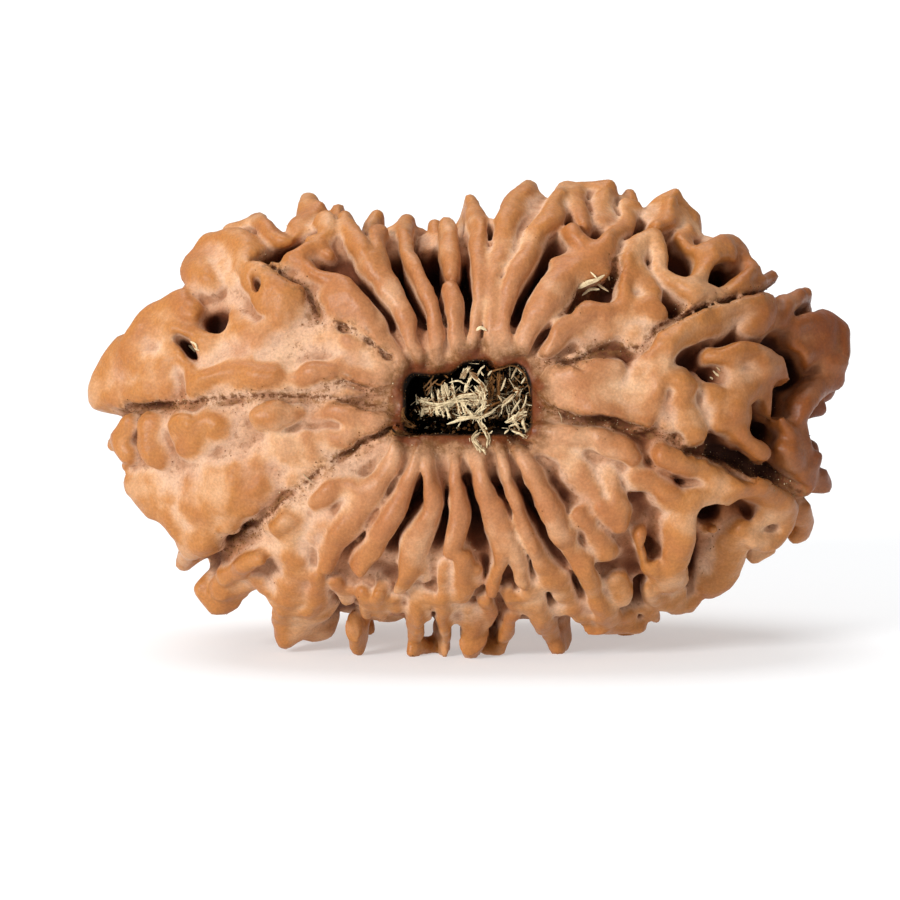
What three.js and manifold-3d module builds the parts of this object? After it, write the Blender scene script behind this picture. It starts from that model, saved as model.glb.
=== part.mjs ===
// A rudraksha seed: one woody stone with a hole from pole to pole, thin fins above and below the
// hole, fleshy lobes at both ends, spines round the rim and a clump of dry fibres in the mouth.
// Lengths are in mm. The face is drawn looking at the hole: x to the right, z up, y away from the eye.
import * as THREE from "three";
import { mergeVertices } from "three/addons/utils/BufferGeometryUtils.js";
import Module from "manifold-3d";

// Crest surface, a rounded body that the tops of all ridges touch.
const HALF_LENGTH = 19;
const HALF_THICKNESS = 11;
const HALF_TOP = 11.5;
const HALF_BOTTOM = 11.7;
const ROUNDNESS = 2.2;

// The outline dips between the fins at the top.
const SADDLE_DROP = 1.7;
const SADDLE_X = -2.6;
const SADDLE_WIDTH = 2.8;

// Share of the outline where the front and the back ridges turn over the rim.
const FRONT_RIM = 0.97;
const BACK_RIM = 0.95;

// The hole: mouth on both faces, neck halfway, and the dip of the face round it.
const HOLE_X = -0.15;
const HOLE_Z = 0.5;
const HOLE_MOUTH_X = 3.15;
const HOLE_MOUTH_Z = 1.75;
const HOLE_NECK_X = 1.5;
const HOLE_NECK_Z = 1.0;
const HOLE_FLARE = 6.5;
const HOLE_CORNER = 0.55;
const DIMPLE_X = 5;
const DIMPLE_Z = 3.6;
const DIMPLE_DEPTH = 1.6;

// The seed leans back on its rim, and the floor trims the tips of the spines that carry it.
const LEAN = THREE.MathUtils.degToRad(-8);
const FOOT_LEVEL = -11.75;
const BACK_FEET = [[-9.0, 4.0], [-5.5, 4.3], [0.2, 4.4], [4.4, 4.2], [7.9, 4.0]];

// Clump of dry fibres in the front mouth: half sizes, place in the hole and number of strands.
const CORE_HALF = [2.5, 1.3, 1.25];
const CORE_Y = -7.4;
const CORE_STRANDS = 16;

// Each ridge is a smooth line of points [x, z, half width, sink below the crest surface].

// Crests of the tall fins above the hole, from its rim out to their tips.
const TOP_FINS = [
  [[-6.15, 9.5, 0.42], [-5.95, 8.8, 0.45], [-5.6, 8.1, 0.42], [-5, 7.25, 0.5], [-4.3, 6.35, 0.55],
    [-3.7, 5.45, 0.5], [-3.2, 4.55, 0.43], [-2.85, 3.7, 0.35, 0.05], [-2.6, 2.9, 0.3, 0.2],
    [-2.45, 2.3, 0.25, 0.5]],
  [[-4.65, 8.7, 0.4, 0.1], [-4.65, 8, 0.42, 0.05], [-4.55, 7.3, 0.4, 0.1]],
  [[-4.75, 9.4, 0.33, 1.6], [-4.9, 8.8, 0.35, 1.6]],
  [[-6.65, 9.8, 0.35, 0.9], [-6.6, 8.9, 0.35, 1.2], [-6.25, 7.4, 0.35, 1.2]],
  [[-3.15, 9.3, 0.42], [-3.4, 8.7, 0.38], [-3.15, 8, 0.36], [-2.8, 7.15, 0.36], [-2.4, 6.25, 0.36],
    [-2.05, 5.45, 0.34], [-1.8, 4.6, 0.3], [-1.65, 3.75, 0.28, 0.05], [-1.6, 2.9, 0.26, 0.2],
    [-1.55, 2.3, 0.25, 0.5]],
  [[-3.9, 8.8, 0.33, 1.2], [-3.95, 8.1, 0.33, 1.4], [-3.85, 7.6, 0.3, 1.6]],
  [[-2.3, 8.4, 0.3, 1.5], [-2.25, 7.8, 0.3, 1.7]],
  [[-1.05, 9.1, 0.38], [-1, 8.55, 0.45], [-1.05, 8, 0.42], [-0.95, 7.3, 0.36, 0.1],
    [-0.9, 6.7, 0.33, 0.3]],
  [[-1, 6, 0.42, 0.05], [-0.85, 5.3, 0.42], [-0.8, 4.45, 0.36], [-0.7, 3.65, 0.33, 0.05],
    [-0.6, 2.85, 0.3, 0.2], [-0.55, 2.3, 0.28, 0.5]],
  [[-1.7, 8.9, 0.35, 1.3], [-1.65, 8.2, 0.35, 1.4]],
  [[-0.4, 8.2, 0.3, 1.6], [-0.3, 7.3, 0.3, 1.8]],
  [[0.1, 10.35, 0.36], [0.2, 9.5, 0.42], [0.35, 8.5, 0.45], [0.45, 7.5, 0.42], [0.5, 6.5, 0.38],
    [0.45, 5.6, 0.32], [0.3, 4.75, 0.26], [0.15, 3.95, 0.24], [0, 3.1, 0.24, 0.2],
    [-0.05, 2.3, 0.24, 0.5]],
  [[0.95, 9, 0.35, 0.9], [1.25, 8.7, 0.35, 0.9], [1.6, 9.05, 0.35, 0.8]],
  [[2.9, 10.95, 0.42], [2.6, 10.3, 0.62], [2.1, 9.4, 0.62], [1.75, 8.5, 0.56], [1.45, 7.5, 0.5],
    [1.2, 6.5, 0.4], [1.1, 5.5, 0.32], [1.05, 4.6, 0.3], [1.05, 3.75, 0.33, 0.05],
    [1.15, 2.9, 0.38, 0.2], [1.2, 2.4, 0.38, 0.5]],
  [[3.35, 10.25, 0.4, 0.9], [3, 9.1, 0.5, 0.9], [2.5, 8.2, 0.4, 0.9]],
  [[4.8, 10.85, 0.4, 0.1], [4.3, 10.2, 0.5], [3.8, 9.3, 0.58], [3.3, 8.45, 0.58], [2.8, 7.6, 0.55],
    [2.35, 6.8, 0.5], [2, 6, 0.42], [1.8, 5.2, 0.35], [1.65, 4.4, 0.3], [1.65, 3.6, 0.32, 0.1],
    [1.8, 2.8, 0.35, 0.35]],
  [[5.1, 6.7, 0.65, 0.1], [4.4, 6.1, 0.78], [3.8, 5.35, 0.8], [3.3, 4.6, 0.68], [2.9, 3.85, 0.52, 0.05],
    [2.55, 3.1, 0.42, 0.25]],
];

// Fins below the hole, and the spines and small bosses under them.
const BOTTOM_FINS = [
  [[-3.6, -1.85, 0.25, 0.35], [-3.9, -2.65, 0.4, 0.05], [-4.5, -3.6, 0.6], [-5.4, -4.65, 0.8],
    [-6.25, -5.85, 0.75], [-6.85, -6.95, 0.55], [-7.15, -7.65, 0.4]],
  [[-5.7, -3.7, 0.6, 0.2], [-6.7, -3.95, 0.65, 0.15], [-7.55, -4.55, 0.5, 0.3]],
  [[-7.15, -5.25, 0.7, 0.4], [-7.6, -6.25, 0.5, 0.4]],
  [[-2.5, -1.85, 0.2, 0.4], [-2.75, -2.8, 0.27, 0.05], [-3.2, -3.85, 0.42], [-3.75, -5, 0.58],
    [-4.35, -6.05, 0.62], [-5, -7.05, 0.5], [-5.55, -7.85, 0.36]],
  [[-5.1, -9, 0.45, 0.5], [-5.15, -9.6, 0.38, 0.3], [-5.15, -10.1, 0.3, 0.2]],
  [[-5.3, -10.6, 0.3, 0.9], [-5.5, -11.4, 0.3, 0.7], [-5.65, -11.9, 0.25, 0.5]],
  [[-4.2, -8.4, 0.35, 1], [-4, -9.8, 0.3, 1.2]],
  [[-2.2, -1.85, 0.2, 0.4], [-2.05, -3, 0.25, 0.05], [-1.85, -4, 0.38], [-1.9, -5, 0.48],
    [-2.45, -6.05, 0.66], [-2.85, -7.05, 0.55], [-3.1, -8.05, 0.42], [-3.4, -8.85, 0.25]],
  [[-2.6, -8.6, 0.5, 0.6], [-2.7, -9.8, 0.45, 0.3], [-2.85, -11, 0.33, 0.2], [-2.9, -12, 0.25, 0.2]],
  [[-0.75, -1.85, 0.25, 0.4], [-0.7, -3.3, 0.3, 0.05], [-0.6, -4.4, 0.42], [-0.55, -5.35, 0.55],
    [-0.7, -6.3, 0.42], [-0.95, -7.1, 0.32, 0.1]],
  [[-0.35, -7.4, 0.45, 0.1], [-0.3, -8.25, 0.6], [-0.5, -9.15, 0.45]],
  [[-1.3, -7.7, 0.38, 0.1], [-1.3, -9.2, 0.36], [-1.2, -10.2, 0.33], [-1.35, -11.3, 0.28],
    [-1.4, -12.2, 0.22]],
  [[-0.05, -9.75, 0.42, 0.3], [0.05, -10.75, 0.42, 0.1], [0.1, -11.8, 0.38], [0.1, -12.15, 0.34]],
  [[0.2, -1.85, 0.28, 0.4], [0.4, -2.9, 0.3, 0.05], [0.7, -4, 0.42], [1.05, -5.15, 0.48],
    [1.3, -6.25, 0.4], [1.4, -7.35, 0.35], [1.3, -8.4, 0.34], [1.15, -9.1, 0.22]],
  [[1.35, -4.9, 0.35, 0.05], [1.85, -6.1, 0.38], [2.2, -7.15, 0.4], [2.55, -8.25, 0.32],
    [2.7, -8.65, 0.22]],
  [[1.3, -1.85, 0.3, 0.4], [1.75, -3.3, 0.26, 0.05], [2.15, -4.4, 0.28], [2.55, -5.5, 0.32],
    [3.05, -6.6, 0.42], [3.65, -7.6, 0.48], [4.35, -8.65, 0.5], [4.95, -9.65, 0.45],
    [5.4, -10.3, 0.35, 0.1]],
  [[3, -8.6, 0.42, 0.4], [3.4, -9.75, 0.48, 0.2], [3.8, -10.9, 0.45, 0.6], [4.35, -12, 0.34, 1.2]],
  [[1.85, -10.2, 0.36, 0.5], [1.7, -11.3, 0.3, 0.3], [1.55, -12, 0.22, 0.2]],
  [[2.35, -1.85, 0.35, 0.4], [2.9, -2.8, 0.45, 0.05], [3.45, -3.85, 0.52], [4, -4.95, 0.55],
    [4.65, -6.2, 0.52], [5.35, -7.35, 0.5], [5.95, -8.4, 0.42, 0.1]],
  [[6.3, -9, 0.5, 0.3], [6.55, -9.8, 0.55, 0.2], [6.6, -10.3, 0.45, 0.2]],
];

// Fleshy lobes at the upper left.
const TOP_LEFT = [
  [[-18.05, 0.75, 0.75], [-17.9, 1.6, 0.85], [-17.55, 2.45, 0.85], [-17.05, 3, 0.75]],
  [[-17.9, 0.65, 0.7], [-16.75, 0.8, 0.75, 0.05], [-15.7, 0.9, 0.65, 0.15], [-14.9, 0.85, 0.45, 0.3]],
  [[-17.15, 1.85, 1.4, 0.05], [-16.2, 2.05, 1.5, 0.1], [-15.1, 1.9, 1.4, 0.25]],
  [[-16.35, 2.9, 0.55, 0.15], [-16.05, 3.85, 0.75], [-15.5, 4.6, 0.8], [-14.75, 4.95, 0.8],
    [-13.95, 5, 0.75], [-13.45, 4.65, 0.5, 0.2]],
  [[-14.7, 3.75, 1.2, 0.25], [-14.2, 3.15, 1.2, 0.35], [-13.5, 2.5, 1, 0.5]],
  [[-13.9, 7.4, 0.55], [-13.7, 6.7, 0.6, 0.15], [-13.4, 5.95, 0.5, 0.5]],
  [[-13.3, 7.75, 0.55, 0.05], [-12.7, 8.1, 0.6], [-12, 8.3, 0.55]],
  [[-12.85, 8, 0.5, 0.1], [-12.3, 7.55, 0.42, 0.1], [-11.95, 6.9, 0.35, 0.15],
    [-11.8, 6.2, 0.28, 0.35]],
  [[-11.7, 8.35, 0.6], [-11.15, 7.75, 0.8], [-10.6, 6.85, 1.05], [-9.9, 5.9, 1.2], [-9.1, 5.25, 1.15],
    [-9, 4.7, 0.95, 0.15], [-9.7, 4.1, 0.7, 0.45]],
  [[-10.9, 3.7, 0.9, 0.75], [-10.4, 3.2, 0.8, 0.85]],
  [[-11.75, 9.05, 0.42, 0.3], [-11.2, 9.2, 0.5, 0.15], [-10.65, 9.35, 0.55, 0.1],
    [-10.1, 8.8, 0.55, 0.1], [-9.5, 8.35, 0.5, 0.2], [-8.95, 8.15, 0.4, 0.5]],
  [[-8.3, 8.5, 0.7, 0.9], [-8, 9.8, 0.62, 0.7], [-7.9, 10.3, 0.5, 0.6]],
  [[-7.2, 9.3, 0.45], [-7, 8.8, 0.5], [-7.4, 8.3, 0.42], [-8.1, 8.2, 0.32, 0.15]],
  [[-8.85, 7.55, 0.4, 0.1], [-8.1, 7.65, 0.42, 0.05], [-7.3, 7.8, 0.42], [-6.85, 7.6, 0.35, 0.1]],
  [[-8.65, 7.3, 0.4, 0.15], [-7.6, 6.65, 0.55, 0.05], [-6.4, 6.05, 0.65], [-5.65, 5.1, 0.75],
    [-4.95, 4.1, 0.8], [-4.3, 3.2, 0.75], [-3.85, 2.35, 0.68], [-3.65, 1.55, 0.55, 0.15]],
  [[-6.8, 5.2, 0.9, 0.5], [-6, 3.9, 1, 0.4], [-5.25, 2.8, 1, 0.3], [-4.45, 1.75, 0.7, 0.2]],
  [[-6.25, 2, 0.5, 0.35], [-5.4, 1.55, 0.5, 0.2], [-4.5, 1.25, 0.42, 0.2]],
  [[-13.35, 1.3, 0.65], [-12.5, 1.5, 0.75], [-11.45, 1.7, 0.8], [-10.4, 1.75, 0.75], [-9.7, 1.55, 0.6]],
  [[-8.4, 1.6, 0.5, 0.05], [-7.65, 1.9, 0.62], [-6.9, 1.75, 0.55, 0.15]],
  [[-5.6, 0.45, 0.45, 0.35], [-4.6, 0.45, 0.5, 0.3], [-3.85, 0.4, 0.45, 0.35]],
  [[-14.25, 0.3, 0.8, 0.8], [-11, 0.55, 0.8, 0.75], [-7.5, 0.55, 0.8, 0.7], [-3.9, 0.3, 0.7, 0.6]],
];

// Lobes, knobs and plates at the lower left.
const BOTTOM_LEFT = [
  [[-16.85, -0.7, 0.55, 0.1], [-17.1, -1.55, 0.65], [-16.85, -2.3, 0.5, 0.1],
    [-17.15, -2.85, 0.28, 0.2]],
  [[-17.3, -1.5, 0.4, 0.2], [-17.75, -1.75, 0.22, 0.3]],
  [[-15.5, -0.85, 0.9, -0.1], [-15.45, -1.6, 0.9, -0.1], [-15.25, -2.2, 0.65, 0.1]],
  [[-14, -1, 1.05, -0.3], [-13.35, -1.3, 1.25, -0.35], [-12.45, -0.9, 1, -0.25]],
  [[-10.2, -0.5, 0.8, -0.15], [-9.45, -0.35, 0.78, -0.15], [-8.7, -0.1, 0.5]],
  [[-7.6, -0.4, 0.5, 0.15], [-6.5, -0.15, 0.6], [-5.3, -0.2, 0.55], [-4.2, -0.5, 0.5],
    [-3.65, -0.9, 0.35, 0.15]],
  [[-6.75, -1.1, 0.6, 0.4], [-5.75, -1.2, 0.6, 0.35], [-4.8, -1.1, 0.5, 0.35]],
  [[-16.65, -3.85, 0.6], [-16.05, -4.55, 0.6, 0.05], [-15.15, -5.05, 0.6, 0.1],
    [-14.35, -5.75, 0.6, 0.1], [-13.95, -6.75, 0.55, 0.15], [-14.15, -7.65, 0.42, 0.1]],
  [[-15.5, -3.9, 1.3, 0.25], [-13.6, -3.85, 1.35, 0.45], [-11.75, -3.2, 1.3, 0.5],
    [-10.4, -2.7, 1.2, 0.5]],
  [[-14, -5.1, 1.3, 0.2], [-12.8, -4.6, 1.4, 0.2], [-11.2, -3.8, 1.2, 0.3]],
  [[-9.3, -1.9, 1.2, 0.5], [-7.5, -1.5, 1, 0.5], [-6, -1.2, 0.9, 0.5]],
  [[-13.7, -6.75, 0.6, 0.2], [-13.2, -6.3, 0.75, 0.1], [-12.75, -5.8, 0.6, 0.15]],
  [[-11.4, -3.9, 0.7, 0.25], [-11.5, -4.9, 0.7, 0.05], [-11.8, -5.8, 0.5]],
  [[-10.2, -3.85, 0.7, 0.35], [-10.75, -4.8, 0.55, 0.15]],
  [[-9.55, -5.75, 0.42], [-9, -5.5, 0.5, 0.05]],
  [[-10.4, -7.3, 0.42, 0.1], [-11.25, -7.7, 0.52], [-12, -8.2, 0.48]],
  [[-13.15, -9.15, 0.5, 0.2], [-12.5, -9.5, 0.6, 0.25], [-11.9, -9.45, 0.5, 0.3]],
  [[-11.5, -8.9, 0.5, 0.7], [-10.6, -8.3, 0.6, 0.7], [-9.9, -9, 0.6, 0.6]],
  [[-8.4, -7.3, 0.8, 0.5], [-8.65, -8.6, 1, 0.3], [-9.05, -9.8, 0.9, 0.3], [-9.15, -10.9, 0.65, 0.5],
    [-9.15, -11.6, 0.45, 0.9]],
  [[-7.6, -8.1, 0.45, 0.15], [-7.55, -9.1, 0.55, 0.05], [-8, -10.2, 0.5, 0.3], [-8.6, -11.2, 0.4, 0.9]],
  [[-7.6, -10.1, 0.5, 0.9], [-7, -9.6, 0.45, 1.2]],
  [[-8.5, -5.1, 1, 0.6], [-8.65, -6.75, 1.1, 0.6]],
];

// Ridges and plates at the upper right.
const TOP_RIGHT = [
  [[5, 6.8, 0.7, 0.1], [5.9, 6.7, 0.7, 0.1], [6.7, 6.4, 0.55, 0.3]],
  [[4.3, 7.1, 0.5, 0.3], [5.25, 7.4, 0.5, 0.4]],
  [[6, 7.4, 0.6], [5.4, 8.1, 0.5], [4.85, 8.8, 0.4]],
  [[6, 7.4, 0.6], [6.8, 8.1, 0.5], [7.5, 8.9, 0.45], [8, 9.7, 0.4], [8.3, 10.1, 0.35]],
  [[5.6, 9.1, 0.45], [5.2, 9.9, 0.5], [5.2, 10.6, 0.5], [6, 11, 0.5], [6.8, 11.2, 0.45]],
  [[6.4, 10.2, 0.9, 0.8], [6.5, 8.9, 0.7, 0.8]],
  [[7.7, 10.1, 0.45, 1], [8, 10.5, 0.4, 1]],
  [[9, 9.5, 0.45, 0.6], [9.5, 10.2, 0.42, 0.4], [10.1, 10.6, 0.4, 0.4]],
  [[7.4, 5.4, 0.5], [7.5, 6.9, 0.6], [8.1, 7.75, 0.6], [8.9, 8.3, 0.55], [9.3, 7.75, 0.5],
    [9.5, 6.75, 0.5], [10.5, 6, 0.5], [11.5, 5.6, 0.5]],
  [[8, 6.5, 0.9, 0.3], [8.5, 5.5, 0.9, 0.5]],
  [[9.25, 9, 0.45, 0.3], [10.1, 9.4, 0.5, 0.3], [10.35, 9.6, 0.42, 0.3], [10.55, 8.6, 0.5, 0.6],
    [10.85, 7.6, 0.45, 0.8]],
  [[11, 8.5, 0.4, 1], [11.1, 9.4, 0.35, 1]],
  [[11.7, 7.8, 0.4, 1.2], [11.8, 8.4, 0.4, 1.2]],
  [[11.1, 6.2, 0.5], [11.55, 6.75, 0.6], [12.05, 7.2, 0.6], [12.6, 7.55, 0.5, 0.2]],
  [[11.5, 7.5, 0.5, 0.2], [12.2, 7.85, 0.65], [12.9, 8, 0.7], [13.4, 7.85, 0.6]],
  [[13.45, 7.6, 0.42], [13.8, 6.9, 0.45], [13.35, 6.3, 0.5], [12.6, 5.9, 0.5], [11.75, 5.6, 0.5],
    [11, 5.5, 0.5]],
  [[14.2, 6.15, 0.38, 0.3], [14.6, 6.45, 0.33, 0.3], [14.9, 6.65, 0.27, 0.3]],
  [[8.8, 2.9, 0.7], [9.9, 3.5, 0.8], [11.1, 4.15, 0.9], [12.3, 4.7, 0.95], [13.4, 5.1, 0.95],
    [14.15, 4.9, 0.85], [14.25, 4.4, 0.8], [13.6, 4.15, 0.7, 0.1]],
  [[9.4, 2.9, 0.8, 0.1], [9.2, 1.9, 0.75, 0.05], [9, 0.9, 0.7, 0.1], [8.75, 0.1, 0.55, 0.15]],
  [[3.75, 2.75, 0.4], [4.6, 3.75, 0.55], [5.5, 4.6, 0.65], [6.25, 5, 0.6], [7.25, 4.75, 0.6],
    [8.5, 4.9, 0.55], [9.4, 4.8, 0.4]],
  [[5.2, 3.5, 0.6, 0.4], [6.4, 4, 0.7, 0.4], [7.4, 4.2, 0.6, 0.5]],
  [[15.3, 4.4, 0.45, 0.4], [15.6, 5.2, 0.45, 0.4], [16.15, 5.6, 0.38, 0.3], [16.65, 5.9, 0.33, 0.3]],
  [[16, 4, 0.7, 0.5], [17.4, 3.9, 0.85, 0.3], [18.2, 3.6, 0.85, 0.3], [18.1, 2.8, 0.85, 0.3],
    [17.8, 2.3, 0.7, 0.3]],
  [[18.1, 1.7, 0.42, 0.3], [18.4, 1.7, 0.38, 0.3]],
  [[17.6, 1.3, 0.5, 0.8], [16.8, 0.6, 0.5, 0.9], [16.3, -0.4, 0.45, 0.9], [16.4, -1.2, 0.45, 0.8]],
];

// Knobs, plates and ear-shaped loops at the right end.
const RIGHT = [
  [[3.9, 1.05, 0.65], [4.75, 1.5, 0.95], [5.9, 1.75, 1.15], [6.75, 1.75, 0.95]],
  [[3.75, 0.6, 0.5, 0.1], [5.25, 0.5, 0.9, 0.15], [6.75, 0.4, 0.95, 0.15], [8.2, 0.25, 0.9, 0.15],
    [9, 0.7, 0.6, 0.25]],
  [[4.5, 0.15, 0.4, 0.15], [6, -0.1, 0.45, 0.1], [7.5, -0.45, 0.45, 0.1], [8.5, -0.7, 0.4, 0.1]],
  [[9.85, 1.6, 0.7, 0.1], [10.45, 1.3, 0.75]],
  [[10.25, 0.35, 0.75, 0.1], [10.7, -0.45, 0.9], [11, -1.05, 0.65]],
  [[11.75, 2.5, 0.5, 0.1], [13, 2.65, 0.6], [14, 2.5, 0.65], [14.5, 2, 0.6]],
  [[14.5, 2, 0.6], [13.6, 1.2, 0.8], [13, 0.4, 0.8], [13.2, -0.75, 0.8], [13.75, -1.6, 0.65],
    [14.3, -2.3, 0.5]],
  [[11.4, 1.5, 0.5, 0.3], [11.9, 0.5, 0.7, 0.3], [12.4, -0.5, 0.7, 0.3]],
  [[14.5, 2.3, 0.6, 0.2], [15.2, 2.1, 0.55, 0.3], [15.8, 1.8, 0.42, 0.35]],
  [[14.5, 1.3, 0.5, 0.3], [14.6, 0.5, 0.45, 0.3], [15.2, -0.3, 0.42, 0.4], [15.8, -1, 0.42, 0.4],
    [16.4, -1.6, 0.45, 0.4], [16.8, -2.4, 0.5, 0.3]],
  [[15.6, -2.1, 0.8, 0.4], [16.3, -2.8, 0.9, 0.3], [16.4, -3.4, 0.8, 0.3]],
  [[17.2, -3.5, 0.5, 0.3], [17.5, -3.6, 0.42, 0.3]],
  [[9.5, -2.3, 0.6], [10.5, -2.5, 0.7], [11.5, -2.9, 0.75], [12.1, -3.4, 0.7]],
  [[12.9, -3.6, 0.7], [13.9, -3.8, 0.75], [14.8, -4.3, 0.7], [15.5, -5, 0.6], [15.6, -5.8, 0.5],
    [15, -6.4, 0.5], [14, -6.6, 0.5]],
  [[14.6, -5.2, 0.7, 0.6], [13.3, -5.9, 0.6, 0.5]],
  [[16.3, -4.9, 0.6, 1], [16.6, -5.6, 0.6, 1], [16.2, -6, 0.5, 1]],
  [[9.6, -4.3, 0.6], [11, -4.4, 0.6], [12.4, -4.2, 0.6]],
  [[10.2, -4.8, 0.8], [10.3, -6.3, 0.85], [10.2, -7.6, 0.85], [10.2, -8.3, 0.75]],
  [[8.6, -6.4, 0.5, -0.1], [8.75, -7.3, 0.58, -0.1], [9.2, -8.1, 0.55], [9.9, -8.6, 0.48]],
  [[11.9, -8.4, 1, 1.1], [12.5, -7.8, 1, 1.3], [12.7, -6.3, 0.8, 1.3]],
  [[11.95, -5.8, 0.3, 0.9], [11.95, -6, 0.3, 0.9]],
  [[14.2, -7.2, 0.45, 1.5], [14.8, -7, 0.45, 1.5]],
  [[8.4, -8.6, 0.4, 0.6], [9.4, -9.3, 0.5, 0.6], [10.6, -9.6, 0.55, 0.6], [11, -9.4, 0.5, 0.6]],
  [[7.7, -10, 0.6, 0.5], [7.7, -10.8, 0.5, 0.3], [8.2, -10.8, 0.5, 0.3]],
  [[8.6, -9.7, 0.4, 1.2], [9.2, -10.1, 0.4, 1.2]],
];

// Fingers and bosses at the lower right.
const BOTTOM_RIGHT = [
  [[3, -1, 0.4], [4.5, -1.4, 0.5], [6, -1.6, 0.6], [7.3, -1.9, 0.6], [8, -2.3, 0.45]],
  [[3.6, -2, 0.5, 0.3], [5.5, -2.5, 0.6, 0.4], [7, -2.8, 0.6, 0.4]],
  [[6.5, -3, 0.5, 0.2], [7.05, -4.1, 0.65], [7.35, -5.1, 0.7, -0.05], [7.4, -5.6, 0.6]],
  [[5.4, -2.9, 0.4, 0.3], [6, -4, 0.4, 0.3]],
  [[8.2, -3.2, 0.7, 0.5], [9, -3.6, 0.8, 0.4], [9.6, -4.3, 0.6, 0.1]],
  [[5.35, -5.1, 0.45, 0.1], [6, -6.1, 0.6, 0.05], [6.6, -7, 0.6, 0.1]],
  [[6.35, -4.7, 0.4, 0.15], [6.65, -5.2, 0.4, 0.2]],
  [[4.5, -8.2, 0.35, 0.2], [5.1, -9.4, 0.35, 0.2], [5.7, -10.3, 0.35, 0.3]],
  [[5.3, -7.2, 0.45], [6, -8.4, 0.5], [6.6, -9.6, 0.65], [6.8, -10.1, 0.55]],
  [[7.3, -8.4, 0.5, 0.3], [7.6, -9.1, 0.5, 0.2]],
];

const FINS = [...TOP_FINS, ...BOTTOM_FINS];
const LEFT_LOBES = [...TOP_LEFT, ...BOTTOM_LEFT];
const RIGHT_LOBES = [...TOP_RIGHT, ...RIGHT, ...BOTTOM_RIGHT];

// Seam lines that run from the hole to the rim: [x, z, half width, depth under the crests].
const SEAMS = [
  [[-17.1, 0.1, 0.1, 1], [-16, 0.15, 0.12, 1.2], [-14.8, 0.3, 0.12, 1.3], [-13.2, 0.4, 0.12, 1.3],
    [-12, 0.7, 0.12, 1.3], [-11, 1, 0.12, 1.3], [-10.4, 0.45, 0.12, 1.2], [-9, 0.65, 0.12, 1.2],
    [-7, 0.55, 0.12, 1.2], [-5.5, 0.3, 0.12, 1.1], [-4, 0.05, 0.12, 1.1]],
  [[-7.2, 1, 0.1, 0.9], [-6, 1.45, 0.12, 1.2], [-5.2, 1, 0.12, 1.2], [-4, 0.9, 0.1, 1]],
  [[-3.6, -0.6, 0.12, 1.2], [-4.5, -1.25, 0.15, 1.5], [-6, -2.05, 0.18, 1.7], [-7.4, -3, 0.18, 1.8],
    [-8.5, -4, 0.2, 1.9], [-9.75, -5, 0.22, 2.1], [-11.1, -6.25, 0.25, 2.4], [-12.4, -7.05, 0.3, 2.8]],
  [[3.7, 2.35, 0.12, 1.1], [5, 2.25, 0.14, 1.2], [5.75, 2.75, 0.14, 1.2], [6.65, 3, 0.14, 1.2],
    [8.3, 3.05, 0.14, 1.2], [10, 4.25, 0.14, 1.4], [12, 5.05, 0.16, 1.6], [14.6, 5.85, 0.2, 2]],
  [[3.95, 2.9, 0.12, 1.1], [4.8, 4.75, 0.16, 1.3], [5.5, 5.7, 0.2, 1.5], [6.9, 6.4, 0.2, 1.6],
    [7.2, 7.4, 0.18, 1.5]],
  [[3.2, 0.4, 0.14, 1.2], [4.25, -0.1, 0.16, 1.3], [5.25, -0.5, 0.2, 1.4], [7.25, -0.7, 0.18, 1.5],
    [8.65, -1.05, 0.18, 1.6], [10.5, -1.85, 0.22, 1.8], [11.8, -2.25, 0.3, 2.2], [13, -2.75, 0.35, 2.4],
    [14.75, -3.25, 0.35, 2.6], [16.4, -4.1, 0.26, 2.4]],
];

// Pits between the lobes: [x, z, half sizes, turn in degrees, depth].
const PITS = [
  [-12.55, 4.35, 0.85, 0.75, -20, 3.4],
  [-14.15, 3.05, 0.8, 0.3, -36, 2.1],
  [-12.5, 6, 0.7, 0.9, 15, 1.6],
  [-10.5, 6.05, 0.22, 0.4, 10, 0.9],
  [-9.4, 7.95, 1, 0.5, -35, 3],
  [-6.75, 8.25, 0.35, 0.3, 0, 2.2],
  [-6.8, 7.2, 0.3, 0.25, 0, 2],
  [-8.25, -1, 0.35, 0.25, -20, 1.5],
  [-4.6, 0.45, 0.9, 0.22, 0, 0.7],
  [12.5, 6.8, 0.55, 0.85, -25, 3.4],
  [6.7, 5.9, 0.35, 0.5, -30, 2],
  [11.95, 1.75, 0.45, 0.5, 0, 2],
  [9.8, 1.25, 0.14, 0.14, 0, 1.2],
  [16.2, 2.3, 0.75, 0.85, 10, 4.2],
  [15.35, 0.4, 0.55, 0.8, 10, 3.6],
  [14.5, -1.05, 0.8, 0.55, -20, 3.6],
  [15.4, 3.5, 0.5, 0.5, 0, 2.2],
  [14, -5.35, 0.35, 0.5, 30, 2],
  [4.5, -3.7, 0.9, 0.32, -55, 1.3],
  [12, -5.3, 0.65, 0.65, 0, 3],
  [8.9, -7, 0.3, 0.6, 0, 1.6],
  [11.25, -7.5, 0.45, 1.3, 0, 3.4],
  [8.45, -9, 0.3, 0.6, 0, 2],
  [10.5, 7.4, 0.7, 1, 0, 2.4],
];

// How deep the skin lies under the crests: deep slots between the fins, shallow dips among the lobes.
const VALLEY = 1.0;
const FIN_SLOT = 1.6;
const LEFT_EXTRA = 0.5;
const RIGHT_EXTRA = 1.5;
const RIM_EXTRA = 1.1;
const SOLE_SHARE = 0.7;
const SOLE_FILL = 0.5;
const SOLE_BACK = 1.0;
const LIP = 0.5;
const SKIN_SWELL = 0.22;
const SKIN_LUMPS = 0.12;

// Ups and downs along a ridge, and how much its width swells and shrinks.
const RIDGE_RISE = 0.25;
const RIDGE_SWELL = 0.12;

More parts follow.
